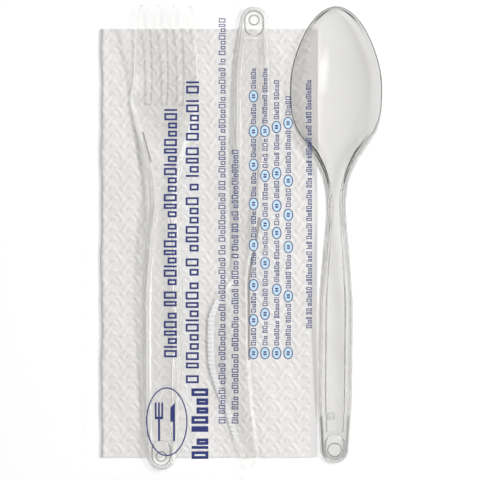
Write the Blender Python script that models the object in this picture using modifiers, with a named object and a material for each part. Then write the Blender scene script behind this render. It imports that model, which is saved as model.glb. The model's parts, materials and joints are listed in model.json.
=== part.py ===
"""A kit of clear plastic cutlery on a folded paper napkin, sealed in clear film.

Seen from above, +Y runs towards the fork's tines and the spoon's bowl, and +Z is up.
Sizes are in millimetres, and the meshes are in metres.
"""
import math

import bmesh
import bpy
import numpy as np
from mathutils import Matrix, Vector

MM = 0.001
GAP = 0.3

# Fork: half width at each distance from the tine tips
FORK_LENGTH = 178.0
FORK_END_RADIUS = 5.6
FORK_HALF_WIDTH = [(0.0, 9.3), (9.0, 11.4), (20.6, 12.0), (30.0, 12.6), (35.5, 13.5), (43.7, 11.9),
                   (55.2, 8.9), (66.7, 6.1), (76.3, 5.4), (89.8, 6.6), (112.9, 7.6), (136.0, 7.4),
                   (166.7, 6.3)]
FORK_TOP = [(0.0, 7.6), (10.0, 4.8), (20.0, 2.9), (28.0, 2.15), (36.0, 2.5), (50.0, 5.9), (62.0, 9.8),
            (75.0, 13.0), (90.0, 14.6), (108.0, 13.6), (140.0, 8.6), (178.0, 3.5)]
FORK_FLANGE_WIDTH = [(0.0, 0.4), (32.0, 0.5), (40.0, 2.2), (60.0, 2.8), (85.0, 2.4), (115.0, 1.8),
                     (178.0, 1.6)]
FORK_FLANGE_DROP = [(0.0, 0.25), (32.0, 0.3), (42.0, 1.6), (54.0, 3.0), (72.0, 4.2), (105.0, 4.0),
                    (140.0, 3.2), (178.0, 2.8)]
FORK_DISH = [(0.0, 0.0), (12.0, 0.3), (34.0, 0.9), (50.0, 0.8), (64.0, 0.0)]
FORK_WALL = [(0.0, 1.5), (10.0, 2.0), (36.0, 2.0), (48.0, 1.4), (178.0, 1.2)]
FORK_CHANNEL_START = 75.7
TINE_PITCH = 6.15
TINE_GAP = 3.2
TINE_GAP_AT_ROOT = 2.3
TINE_ROOT = 38.0
TINE_TAPER = 7.9
TINE_TIP_LAND = 0.15

# Spoon: half width at each distance from the bowl's tip
SPOON_LENGTH = 175.4
SPOON_END_RADIUS = 5.45
SPOON_HALF_WIDTH = [(0.0, 0.0), (8.1, 10.85), (14.2, 13.9), (20.0, 15.95), (25.4, 17.2), (31.5, 17.7),
                    (38.5, 17.5), (46.5, 16.0), (53.8, 11.8), (59.2, 8.3), (67.7, 4.8), (76.2, 3.8),
                    (96.5, 5.3), (117.7, 6.6), (147.3, 6.6), (164.0, 5.8)]
SPOON_TOP = [(0.0, 7.2), (30.0, 8.3), (48.0, 9.4), (64.0, 12.2), (78.0, 14.6), (92.0, 15.2),
             (112.0, 13.4), (140.0, 8.3), (175.4, 2.9)]
SPOON_FLANGE_WIDTH = [(0.0, 0.5), (40.0, 0.6), (50.0, 1.3), (58.0, 1.9), (70.0, 1.9), (100.0, 2.1),
                      (175.4, 2.0)]
SPOON_FLANGE_DROP = [(0.0, 0.25), (40.0, 0.35), (50.0, 1.4), (60.0, 3.2), (72.0, 3.8), (110.0, 3.8),
                     (150.0, 3.2), (175.4, 3.0)]
SPOON_BOWL_DEPTH = [(0.5, 0.0), (3.0, 2.1), (8.0, 4.2), (15.0, 5.9), (24.0, 6.9), (32.0, 7.0),
                    (42.0, 6.2), (50.0, 4.7), (58.0, 2.7), (66.0, 0.9), (73.0, 0.0)]
SPOON_BOWL_FULLNESS = 2.4
SPOON_WALL = [(0.0, 1.1), (175.4, 1.2)]
SPOON_CHANNEL_START = 66.0

# Knife: its two edges at each distance from the blade's tip
KNIFE_LENGTH = 177.6
KNIFE_END_RADIUS = 5.46
KNIFE_END_SHIFT = -0.75
KNIFE_CUTTING_SIDE = [(0.0, 0.2), (3.1, 3.3), (8.3, 6.1), (16.7, 8.9), (21.7, 10.4), (32.1, 14.6),
                      (41.7, 16.9), (49.4, 17.2), (57.0, 17.0), (61.7, 15.8), (66.3, 13.0), (70.5, 9.6),
                      (74.4, 7.4), (87.9, 7.5), (122.5, 7.7), (149.4, 7.3), (164.8, 5.8)]
KNIFE_SPINE_SIDE = [(0.0, 0.2), (3.1, -2.9), (8.3, -2.4), (26.3, -0.6), (49.4, 0.75), (71.3, 0.75),
                    (76.0, 0.2), (87.9, -2.1), (111.0, -5.0), (137.9, -6.8), (149.4, -7.1),
                    (164.8, -6.4)]
KNIFE_TOP = [(0.0, 2.3), (20.0, 2.9), (60.0, 4.1), (85.0, 6.4), (120.0, 7.0), (177.6, 3.7)]
KNIFE_BEVEL_WIDTH = [(0.0, 1.4), (12.0, 2.6), (66.0, 2.7), (76.0, 2.4), (110.0, 2.3), (177.6, 1.8)]
KNIFE_BEVEL_DROP = [(0.0, 0.5), (12.0, 0.95), (66.0, 0.95), (76.0, 2.6), (90.0, 4.0), (120.0, 3.9),
                    (177.6, 3.0)]
KNIFE_SPINE_WIDTH = [(0.0, 1.2), (12.0, 1.6), (60.0, 1.9), (80.0, 2.3), (110.0, 2.3), (177.6, 1.8)]
KNIFE_SPINE_DROP = [(0.0, 0.4), (14.0, 1.0), (60.0, 1.9), (80.0, 3.2), (95.0, 4.0), (120.0, 3.9),
                    (177.6, 3.0)]
KNIFE_GROUND_FLAT = [(0.0, 1.0), (64.0, 1.0), (76.0, 0.0), (177.6, 0.0)]
KNIFE_WALL = [(0.0, 1.3), (30.0, 1.5), (66.0, 1.5), (80.0, 1.3), (177.6, 1.2)]
KNIFE_CHANNEL_START = 83.4
SERRATION_START = 12.0
SERRATION_END = 64.0
SERRATION_PITCH = 1.7
SERRATION_DEPTH = 0.55

# What the three handles share
EDGE_LAND = 0.6
SLOPE_SHARE = 0.65
STEEPEST = 0.45
CHANNEL_DEPTH = 0.7
CHANNEL_RIM = 0.9
CHANNEL_FLOOR = 0.74
CHANNEL_FADE = 9.0
PAD_RADIUS = 3.7
PAD_LENGTH = 9.9
PAD_RISE = 0.4
PAD_FROM_END = 5.5
PAD_TO_CHANNEL = 1.2
PIP_DEPTH = 0.45
PIP_RADIUS = 2.1
SPOON_PIP_RADIUS = 2.9
PAD_SIDES = 20
PIP_SIDES = 18
PAD_TILT_SPAN = 2.0

# How the three meshes are laid out along their length, and how far their cutters reach
FORK_ROW_STEP = 6.3
SPOON_ROW_STEP = 5.2
KNIFE_ROW_STEP = 6.0
FRONT_END = 8.0
FRONT_ROWS = 5
REAR_ROW_TURN = 18
REAR_ROW_MARGIN = 0.2
LEAST_ROW_STEP = 0.13
OUTLINE_SAMPLES = 900
SERRATION_SAMPLES = 400
SERRATION_PROUD = 0.05
SERRATION_MARGIN = 4.0
COMB_SIDE_MARGIN = 3.0
COMB_TIP_MARGIN = 2.0
TINE_TAPER_STEPS = 6
TINE_ROOT_STEPS = 8
CUTTER_FOOT = -5.0
CUTTER_HEAD = 20.0
PIP_CUTTER_RISE = 1.0

# Napkin: a square sheet doubled across, then folded to a quarter of its width
NAPKIN_SQUARE = 330.0
NAPKIN_LEFT = -53.9
NAPKIN_FOLDED_WIDTH = 83.5
NAPKIN_BOTTOM_END = -84.7
NAPKIN_SHEET = 0.2
NAPKIN_SHEET_GAP = 0.16
NAPKIN_LAYER_GAP = 0.18
NAPKIN_TOP_EDGE_SETBACK = 2.9
NAPKIN_WAVE = 0.09
NAPKIN_WAVE_ACROSS = 31.0
NAPKIN_WAVE_ALONG = 67.0

# Film: a flat tube with a lapped seal underneath and two flat end seals
FILM_WALL = 0.08
FILM_HALF_WIDTH = 60.0
FILM_END_SEAL = 11.0
FILM_END_SLOPE = 9.0
FILM_SEAL_LAP = 10.0
FILM_SIDE_RADIUS = 1.3
FILM_SLACK = 0.5
FILM_LAP_TURN = 0.4
FILM_COLUMN_TURN = 1.3
FILM_COLUMNS = 17
FILM_ROWS = 17

# Where each piece lies: the handle's end, and the turn that points its working end
FORK_END = (-30.4, -89.3)
FORK_TURN = math.radians(-0.65)
SPOON_END = (36.1, -87.0)
SPOON_TURN = math.radians(-0.15)
SPOON_LIFT = 1.2
KNIFE_END = (4.42, 88.75)
KNIFE_TURN = math.radians(180.0)

FILM_FLOOR = 2 * (FILM_WALL + GAP)
NAPKIN_BASE = FILM_FLOOR + FILM_WALL + GAP
NAPKIN_LAYER = 2 * NAPKIN_SHEET + NAPKIN_SHEET_GAP
NAPKIN_PITCH = NAPKIN_LAYER + NAPKIN_LAYER_GAP
NAPKIN_THICKNESS = 3 * NAPKIN_PITCH + NAPKIN_LAYER
NAPKIN_TOP = NAPKIN_BASE + NAPKIN_THICKNESS
CUTLERY_BASE = NAPKIN_TOP + GAP + NAPKIN_WAVE

CLEAR_PLASTIC = ("clear_polystyrene", (0.80, 0.83, 0.82), 0.05)
TISSUE = ("tissue_paper", (0.86, 0.85, 0.84), 0.95)
CLEAR_FILM = ("clear_film", (0.93, 0.94, 0.95), 0.12)


def clear_scene():
    """Empty the file, so that the kit is built alone."""
    for item in list(bpy.data.objects):
        bpy.data.objects.remove(item)


def make_collection(name):
    """A new collection in the scene."""
    group = bpy.data.collections.new(name)
    bpy.context.scene.collection.children.link(group)
    return group


def make_material(finish):
    """A Principled material from a name, a colour and a roughness."""
    name, colour, roughness = finish
    material = bpy.data.materials.get(name)
    if material is None:
        material = bpy.data.materials.new(name)
        material.use_nodes = True
        shader = material.node_tree.nodes["Principled BSDF"]
        shader.inputs["Base Color"].default_value = (*colour, 1.0)
        shader.inputs["Roughness"].default_value = roughness
        shader.inputs["Metallic"].default_value = 0.0
    return material


def make_object(name, mesh, group, finish=None):
    """An object in a collection, with its own material if it is a part."""
    item = bpy.data.objects.new(name, mesh)
    group.objects.link(item)
    if finish:
        mesh.materials.append(make_material(finish))
        mesh.shade_smooth()
        mesh.set_sharp_from_angle(angle=math.radians(38.0))
    return item


def smooth(stations, places):
    """Values between stations, on a smooth curve that never overshoots them."""
    spot, value = np.array(stations, dtype=float).T
    places = np.clip(places, spot[0], spot[-1])
    step = np.diff(spot)
    slope = np.diff(value) / step
    before, after = slope[:-1], slope[1:]
    same = before * after > 0
    inner = np.where(same, 2 * before * after / np.where(same, before + after, 1.0), 0.0)
    tangent = np.concatenate(([slope[0]], inner, [slope[-1]]))
    i = np.clip(np.searchsorted(spot, places, side="right") - 1, 0, len(step) - 1)
    t = (places - spot[i]) / step[i]
    start = (1 + 2 * t) * (1 - t) ** 2 * value[i] + t * (1 - t) ** 2 * step[i] * tangent[i]
    stop = t * t * (3 - 2 * t) * value[i + 1] + t * t * (t - 1) * step[i] * tangent[i + 1]
    return start + stop


def ease(places, start, stop):
    """0 before start, 1 after stop, and an S-shaped rise between them."""
    t = np.clip((places - start) / (stop - start), 0.0, 1.0)
    return t * t * (3 - 2 * t)


class Blank:
    """The moulded blank of one piece of cutlery, described along its length.

    Each side is a list of stations from the working end. The last stretch, one end radius long,
    is a round end about end_shift.
    """

    def __init__(self, length, end_radius, left, right, top, walls, end_shift=0.0):
        self.length = length
        self.end_radius = end_radius
        self.end_shift = end_shift
        self.sides = {-1: left, 1: right}
        self.top = top
        self.walls = walls
        self.blunt = left[0][1] != right[0][1]
        self.widths = {}
        self.drops = {}
        self.flats = {-1: [(0.0, 0.0), (length, 0.0)], 1: [(0.0, 0.0), (length, 0.0)]}

    def flange(self, side, widths, drops):
        """Give one side its sloping flange."""
        self.widths[side] = widths
        self.drops[side] = drops

    def edge(self, side, places):
        """Where the outline lies across, at each place along."""
        start = self.length - self.end_radius
        stations = self.sides[side] + [(start, self.end_shift + side * self.end_radius)]
        rooted = [(math.sqrt(place), value) for place, value in stations]
        body = smooth(rooted, np.sqrt(np.clip(places, 0.0, start)))
        from_centre = np.clip(places - start, 0.0, self.end_radius)
        arc = self.end_shift + side * np.sqrt(self.end_radius ** 2 - from_centre ** 2)
        return np.where(places > start, arc, body)

    def inset(self, side, share, places):
        """The outline moved in by a share of the flange's width, and where it exists."""
        turn = np.linspace(0.0, math.pi, OUTLINE_SAMPLES)
        along = self.length * (1 - np.cos(turn)) / 2
        across = self.edge(side, along)
        run, rise = np.gradient(along, turn), np.gradient(across, turn)
        size = np.hypot(run, rise)
        width = share * smooth(self.widths[side], along)
        moved_along = along + side * width * rise / size
        moved_across = across - side * width * run / size
        inside = (places >= moved_along[0]) | self.blunt
        inside &= places <= moved_along[-1]
        return np.interp(places, moved_along, moved_across), inside

    def rows(self, step, extra):
        """Places along the blank: close at both ends, even between, with the extra ones."""
        front = [FRONT_END * (i / FRONT_ROWS) ** 2 for i in range(FRONT_ROWS)]
        stop = self.length - self.end_radius
        count = round((stop - FRONT_END) / step)
        middle = list(np.linspace(FRONT_END, stop, count + 1))
        turns = [math.radians(a) for a in range(0, 90, REAR_ROW_TURN)]
        rear = [self.length - self.end_radius * (1 - math.cos(a)) for a in turns]
        for side in (-1, 1):
            first, last = self.widths[side][0][1], self.widths[side][-1][1]
            front += [SLOPE_SHARE * first, first]
            rear += [self.length - SLOPE_SHARE * last, self.length - last]
            rear += [self.length - last - REAR_ROW_MARGIN]
        places = []
        for place in sorted(front + middle + rear + extra):
            if not places or place - places[-1] > LEAST_ROW_STEP:
                places.append(place)
        places[-1] = self.length
        return np.array(places)


def blank_grid(blank, places, fractions):
    """The columns of the top surface: side, flange share, place across, and inner fraction."""
    middle = (blank.edge(-1, places) + blank.edge(1, places)) / 2
    to_end = blank.length - places if blank.blunt else np.minimum(places, blank.length - places)
    outer, reach = {}, {}
    for side, limit in ((-1, np.minimum), (1, np.maximum)):
        reach[side] = to_end / smooth(blank.widths[side], places)
        outer[side] = []
        for share in (0.0, SLOPE_SHARE, 1.0):
            across, inside = blank.inset(side, share, places)
            across = np.where(inside, limit(across, middle), middle)
            outer[side].append((side, np.minimum(share, reach[side]), across, float(side)))
    inner = []
    for fraction in fractions:
        side = -1 if fraction < 0 else 1
        left, right = outer[-1][-1][2], outer[1][-1][2]
        across = left + (right - left) * (fraction + 1) / 2
        inner.append((side, np.minimum(1.0, reach[side]), across, fraction))
    return outer[-1] + inner + outer[1][::-1]


def top_surface(bm, blank, places, fractions, hollow):
    """The top as an open surface, and what shapes the underside below each of its points.

    That is the wall, a level underside and how much it counts, and the lowest that it may lie.
    """
    top = smooth(blank.top, places)
    wall = smooth(blank.walls, places)
    known, beneath, columns = {}, {}, []
    for side, share, across, fraction in blank_grid(blank, places, fractions):
        drop = smooth(blank.drops[side], places)
        height = top - drop * (1 - share) - hollow(places, fraction)
        flat = smooth(blank.flats[side], places) * (abs(fraction) == 1)
        foot = np.where(share < 1, top - drop - EDGE_LAND, height - blank.length)
        column = []
        for i, (x, s, z) in enumerate(zip(across, places, height)):
            key = (round(x, 2), round(s, 2))
            if key not in known:
                known[key] = bm.verts.new((x, blank.length - s, z))
                beneath[known[key]] = (wall[i], top[i] - wall[i], flat[i], foot[i])
            column.append(known[key])
        columns.append(column)
    for first, second in zip(columns[:-1], columns[1:]):
        for i in range(len(places) - 1):
            ring = list(dict.fromkeys((first[i], first[i + 1], second[i + 1], second[i])))
            if len(ring) > 2:
                bm.faces.new(ring)
    bm.normal_update()
    return beneath


def shell_mesh(name, blank, places, fractions, hollow):
    """A closed mesh: the top surface, the underside below it, and the land round their rims."""
    bm = bmesh.new()
    beneath = top_surface(bm, blank, places, fractions, hollow)
    upper = bm.faces[:]
    rim = [edge for edge in bm.edges if edge.is_boundary]
    lower = {}
    for vert, (wall, level, flat, foot) in beneath.items():
        depth = min(EDGE_LAND, wall) if vert.is_boundary else wall / max(vert.normal.z, STEEPEST)
        height = flat * level + (1 - flat) * max(vert.co.z - depth, foot)
        lower[vert] = (vert.co.x, vert.co.y, height)
    lower = {vert: bm.verts.new(place) for vert, place in lower.items()}
    for face in upper:
        bm.faces.new([lower[vert] for vert in reversed(face.verts)])
    for edge in rim:
        first, second = edge.verts
        bm.faces.new((first, second, lower[second], lower[first]))
    return finish_mesh(name, bm)


def finish_mesh(name, bm):
    """Turn the faces outwards and the millimetres to metres, and make the mesh."""
    bmesh.ops.triangulate(bm, faces=bm.faces[:])
    bmesh.ops.recalc_face_normals(bm, faces=bm.faces[:])
    bmesh.ops.scale(bm, vec=(MM, MM, MM), verts=bm.verts[:])
    mesh = bpy.data.meshes.new(name)
    bm.to_mesh(mesh)
    bm.free()
    return mesh


def prism_mesh(name, outline, low, high):
    """A straight prism over an outline, a list of (x, y)."""
    bm = bmesh.new()
    base = bm.faces.new([bm.verts.new((x, y, low)) for x, y in outline])
    raised = bmesh.ops.extrude_face_region(bm, geom=[base])["geom"]
    moved = [item for item in raised if isinstance(item, bmesh.types.BMVert)]
    bmesh.ops.translate(bm, vec=(0.0, 0.0, high - low), verts=moved)
    return finish_mesh(name, bm)


def boolean(target, cutter, operation):
    """Cut or join a cutter object on a target."""
    cutter.hide_render = True
    cutter.display_type = "WIRE"
    modifier = target.modifiers.new(cutter.name, "BOOLEAN")
    modifier.object = cutter
    modifier.operation = operation
    modifier.solver = "EXACT"


def channel(blank, start):
    """The depth of the handle's channel, which ends in an arc round the pad."""
    stop = blank.length - PAD_FROM_END - PAD_LENGTH + PAD_RADIUS - PAD_TO_CHANNEL

    def depth(places, fraction):
        across = CHANNEL_DEPTH * (1 - ease(abs(fraction), CHANNEL_FLOOR, CHANNEL_RIM))
        along = ease(places, start, start + CHANNEL_FADE)
        return across * along * (1 - ease(places, stop, stop + PAD_TO_CHANNEL))

    return depth


def pad_rows(blank):
    """The rows that draw the channel's end beside the pad."""
    stop = blank.length - PAD_FROM_END - PAD_LENGTH + PAD_RADIUS
    return [stop - PAD_TO_CHANNEL, stop - PAD_TO_CHANNEL / 2, stop]


def add_pad(item, blank, radius, cutters):
    """Raise the long round pad at the handle's end, and sink the pip in it."""
    half = PAD_LENGTH / 2 - PAD_RADIUS
    middle = blank.length - PAD_FROM_END - half
    reach = PAD_TILT_SPAN / 2
    low, level, high = smooth(blank.top, np.array([middle + reach, middle, middle - reach]))
    outline = []
    for step in range(PAD_SIDES):
        angle = 2 * math.pi * step / PAD_SIDES
        shift = -half if math.sin(angle) < -1e-6 or step == 0 else half
        outline.append((PAD_RADIUS * math.cos(angle), PAD_RADIUS * math.sin(angle) + shift))
    tilt = Matrix.Rotation(math.atan2(high - low, PAD_TILT_SPAN), 4, "X")
    place = Matrix.Translation(Vector((blank.end_shift, blank.length - middle, level)) * MM) @ tilt
    wall = smooth(blank.walls, np.array([middle]))[0]
    pad_mesh = prism_mesh(item.name + "_pad", outline, -wall / 2, PAD_RISE)
    spokes = [2 * math.pi * i / PIP_SIDES for i in range(PIP_SIDES)]
    pip = [(radius * math.cos(a), radius * math.sin(a) - half) for a in spokes]
    pip_mesh = prism_mesh(item.name + "_pip", pip, PAD_RISE - PIP_DEPTH, PAD_RISE + PIP_CUTTER_RISE)
    for mesh, operation in ((pad_mesh, "UNION"), (pip_mesh, "DIFFERENCE")):
        mesh.transform(place)
        cutter = make_object(mesh.name, mesh, cutters)
        cutter.parent = item
        boolean(item, cutter, operation)


def place_piece(item, end, turn, height):
    """Lay a piece down by its handle's end, with its lowest point at a height."""
    lowest = min(vert.co.z for vert in item.data.vertices) / MM
    item.location = Vector((end[0], end[1], height - lowest)) * MM
    item.rotation_euler = (0.0, 0.0, turn)


def tine_comb(blank):
    """The outline of what lies between the tines and before their tips."""
    reach = blank.length + COMB_TIP_MARGIN
    tip = blank.length - TINE_TIP_LAND
    side = blank.sides[1][1][1] + COMB_SIDE_MARGIN
    span = TINE_TAPER - TINE_TIP_LAND
    shares = [(i / TINE_TAPER_STEPS) ** 2 for i in range(TINE_TAPER_STEPS + 1)]
    taper = [TINE_TIP_LAND + span * share for share in shares]
    tine_half = (TINE_PITCH - TINE_GAP) / 2
    wall = [tine_half * math.sqrt(1 - (1 - s / TINE_TAPER) ** 2) for s in taper]
    root = TINE_GAP_AT_ROOT / 2
    points = [(-side, reach), (-side, tip)]
    for gap in (-1, 0, 1):
        middle = gap * TINE_PITCH
        left = [(middle - TINE_PITCH / 2 + w, blank.length - s) for s, w in zip(taper, wall)]
        arc = [math.pi * (1 + i / TINE_ROOT_STEPS) for i in range(TINE_ROOT_STEPS + 1)]
        floor = blank.length - TINE_ROOT + root
        bottom = [(middle + root * math.cos(a), floor + root * math.sin(a)) for a in arc]
        right = [(2 * middle - x, y) for x, y in reversed(left)]
        points += left + bottom + right
    return points + [(side, tip), (side, reach)]


def make_fork(group, cutters):
    """The fork: a dished head with four tines, and a flanged handle."""
    left = [(s, -w) for s, w in FORK_HALF_WIDTH]
    blank = Blank(FORK_LENGTH, FORK_END_RADIUS, left, FORK_HALF_WIDTH, FORK_TOP, FORK_WALL)
    for side in (-1, 1):
        blank.flange(side, FORK_FLANGE_WIDTH, FORK_FLANGE_DROP)
    run = channel(blank, FORK_CHANNEL_START)

    def hollow(places, fraction):
        return smooth(FORK_DISH, places) * (1 - fraction ** 2) + run(places, fraction)

    fractions = [-CHANNEL_RIM, -CHANNEL_FLOOR, 0.0, CHANNEL_FLOOR, CHANNEL_RIM]
    mesh = shell_mesh("fork", blank, blank.rows(FORK_ROW_STEP, pad_rows(blank)), fractions, hollow)
    fork = make_object("fork", mesh, group, CLEAR_PLASTIC)
    comb = prism_mesh("tine_comb", tine_comb(blank), CUTTER_FOOT, CUTTER_HEAD)
    boolean(fork, parented(make_object("tine_comb", comb, cutters), fork), "DIFFERENCE")
    add_pad(fork, blank, PIP_RADIUS, cutters)
    place_piece(fork, FORK_END, FORK_TURN, CUTLERY_BASE)


def parented(cutter, owner):
    """Tie a cutter to the piece that it cuts."""
    cutter.parent = owner
    return cutter


def make_spoon(group, cutters):
    """The spoon: an egg-shaped bowl that runs into a flanged handle."""
    left = [(s, -w) for s, w in SPOON_HALF_WIDTH]
    blank = Blank(SPOON_LENGTH, SPOON_END_RADIUS, left, SPOON_HALF_WIDTH, SPOON_TOP, SPOON_WALL)
    for side in (-1, 1):
        blank.flange(side, SPOON_FLANGE_WIDTH, SPOON_FLANGE_DROP)
    run = channel(blank, SPOON_CHANNEL_START)

    def hollow(places, fraction):
        bowl = smooth(SPOON_BOWL_DEPTH, places) * (1 - abs(fraction) ** SPOON_BOWL_FULLNESS)
        return bowl + run(places, fraction)

    half = [CHANNEL_RIM, CHANNEL_FLOOR, 0.5, 0.25]
    fractions = [-f for f in half] + [0.0] + half[::-1]
    mesh = shell_mesh("spoon", blank, blank.rows(SPOON_ROW_STEP, pad_rows(blank)), fractions, hollow)
    spoon = make_object("spoon", mesh, group, CLEAR_PLASTIC)
    add_pad(spoon, blank, SPOON_PIP_RADIUS, cutters)
    place_piece(spoon, SPOON_END, SPOON_TURN, FILM_FLOOR + FILM_WALL + GAP + SPOON_LIFT)


def serration(blank):
    """A saw-tooth strip along the cutting edge, to be cut away from it."""
    along = np.linspace(SERRATION_START, SERRATION_END, SERRATION_SAMPLES)
    across = blank.edge(1, along)
    travel = np.concatenate(([0.0], np.cumsum(np.hypot(np.diff(along), np.diff(across)))))
    count = round(travel[-1] / SERRATION_PITCH)
    marks = np.linspace(0.0, travel[-1], 2 * count + 1)
    spot = np.interp(marks, travel, along)
    edge = blank.edge(1, spot)
    rise = np.gradient(edge, spot)
    size = np.hypot(1.0, rise)
    depth = np.where(np.arange(len(marks)) % 2 == 1, SERRATION_DEPTH, -SERRATION_PROUD)
    teeth = [(x - d / n, blank.length - s - d * r / n)
             for x, s, d, r, n in zip(edge, spot, depth, rise, size)]
    far = max(edge) + SERRATION_MARGIN
    return teeth + [(far, blank.length - SERRATION_END), (far, blank.length - SERRATION_START)]


def make_knife(group, cutters):
    """The knife: a bellied, saw-edged blade with a ribbed spine, and a flanged handle."""
    blank = Blank(KNIFE_LENGTH, KNIFE_END_RADIUS, KNIFE_SPINE_SIDE, KNIFE_CUTTING_SIDE, KNIFE_TOP,
                  KNIFE_WALL, KNIFE_END_SHIFT)
    blank.flange(-1, KNIFE_SPINE_WIDTH, KNIFE_SPINE_DROP)
    blank.flange(1, KNIFE_BEVEL_WIDTH, KNIFE_BEVEL_DROP)
    blank.flats[1] = KNIFE_GROUND_FLAT
    hollow = channel(blank, KNIFE_CHANNEL_START)
    fractions = [-CHANNEL_RIM, -CHANNEL_FLOOR, 0.0, CHANNEL_FLOOR, CHANNEL_RIM]
    mesh = shell_mesh("knife", blank, blank.rows(KNIFE_ROW_STEP, pad_rows(blank)), fractions, hollow)
    knife = make_object("knife", mesh, group, CLEAR_PLASTIC)
    strip = prism_mesh("serration", serration(blank), CUTTER_FOOT, CUTTER_HEAD)
    boolean(knife, parented(make_object("serration", strip, cutters), knife), "DIFFERENCE")
    add_pad(knife, blank, PIP_RADIUS, cutters)
    place_piece(knife, KNIFE_END, KNIFE_TURN, CUTLERY_BASE)


def bend(centre, radius, start, sweep, steps):
    """Points on an arc in the section's plane, as (x, z)."""
    angles = [math.radians(start + sweep * i / steps) for i in range(steps + 1)]
    return [(centre[0] + radius * math.cos(a), centre[1] + radius * math.sin(a)) for a in angles]


def straight(start, stop, level, count):
    """Points along a level run of the section, without its two ends."""
    return [(start + (stop - start) * i / count, level) for i in range(1, count)]


def napkin_section():
    """The napkin's fold, from the top free edge round to the free edge inside."""
    right = NAPKIN_LEFT + NAPKIN_FOLDED_WIDTH
    base = NAPKIN_BASE + NAPKIN_LAYER / 2
    levels = [base + NAPKIN_PITCH * i for i in range(4)]
    outer, tight = NAPKIN_PITCH * 1.5, NAPKIN_PITCH / 2
    left = NAPKIN_LEFT + outer + NAPKIN_LAYER / 2
    turn = right - tight - NAPKIN_LAYER / 2
    top_edge = right - NAPKIN_TOP_EDGE_SETBACK
    path = [(top_edge, levels[3])] + straight(top_edge, left, levels[3], 8)
    path += bend((left, (levels[0] + levels[3]) / 2), outer, 90.0, 180.0, 8)
    path += straight(left, turn, levels[0], 4)
    path += bend((turn, (levels[0] + levels[1]) / 2), tight, -90.0, 180.0, 4)
    path += straight(turn, left, levels[1], 4)
    path += bend((left, (levels[1] + levels[2]) / 2), tight, 270.0, -180.0, 4)
    inner_edge = left + NAPKIN_SQUARE - sum(math.dist(a, b) for a, b in zip(path, path[1:]))
    return path + straight(left, inner_edge, levels[2], 4) + [(inner_edge, levels[2])]


def swept_sheet(name, sections, thickness, group, finish):
    """A sheet through a row of sections, each a (y, [(x, z), ...]), with Solidify's thickness."""
    bm = bmesh.new()
    rows = [[bm.verts.new((x * MM, y * MM, z * MM)) for x, z in section] for y, section in sections]
    for first, second in zip(rows[:-1], rows[1:]):
        for i in range(len(first) - 1):
            bm.faces.new((first[i], first[i + 1], second[i + 1], second[i]))
    mesh = bpy.data.meshes.new(name)
    bm.to_mesh(mesh)
    bm.free()
    item = make_object(name, mesh, group, finish)
    wall = item.modifiers.new("thickness", "SOLIDIFY")
    wall.thickness = thickness * MM
    wall.offset = 0.0
    return item


def doubled_rows(count):
    """The rows of the doubled sheet as (y, offset): out along one half, round the fold, and back."""
    offset = (NAPKIN_SHEET + NAPKIN_SHEET_GAP) / 2
    fold = NAPKIN_BOTTOM_END + offset + NAPKIN_SHEET / 2
    half = (NAPKIN_SQUARE - math.pi * offset) / 2
    run = [fold + half * i / count for i in range(1, count + 1)]
    turn = bend((fold, 0.0), offset, 90.0, 180.0, 4)
    return [(y, offset) for y in reversed(run)] + turn + [(y, -offset) for y in run]


def make_napkin(group):
    """The napkin: one square sheet with all its folds, lying in gentle waves."""
    section = napkin_section()
    x, z = np.array(section).T
    across, up = np.gradient(x), np.gradient(z)
    size = np.hypot(across, up)
    sections = []
    for y, offset in doubled_rows(6):
        wave = NAPKIN_WAVE * np.sin(2 * math.pi * (x / NAPKIN_WAVE_ACROSS + y / NAPKIN_WAVE_ALONG))
        moved = zip(x + offset * up / size, z - offset * across / size + wave)
        sections.append((y, list(moved)))
    swept_sheet("napkin", sections, NAPKIN_SHEET, group, TISSUE)


def content_points(items):
    """Every corner of the pieces inside the film, in millimetres."""
    bpy.context.view_layer.update()
    return [item.matrix_world @ vert.co / MM for item in items for vert in item.data.vertices]


def drape(columns, places, points, base):
    """Heights of a film laid over the points: a row for each place, and base level at both sides."""
    heights = np.full((len(places), len(columns)), base)
    for x, y, z in points:
        j = int(np.searchsorted(columns, x)) - 1
        i = int(np.searchsorted(places, y)) - 1
        cell = heights[i:i + 2, j:j + 2]
        np.maximum(cell, z + FILM_SLACK, out=cell)
    for row in heights:
        pull_taut(columns, row)
    return heights


def pull_taut(columns, row):
    """Lift the valleys of one row of heights to the straight lines over them."""
    hull = [0]
    for j in range(1, len(columns)):
        while len(hull) > 1 and sags(columns, row, hull[-2], hull[-1], j):
            hull.pop()
        hull.append(j)
    row[:] = np.interp(columns, columns[hull], row[hull])


def sags(columns, row, first, middle, last):
    """Whether the middle column lies under the line between the first and the last."""
    share = (columns[middle] - columns[first]) / (columns[last] - columns[first])
    return row[middle] <= (1 - share) * row[first] + share * row[last]


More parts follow.
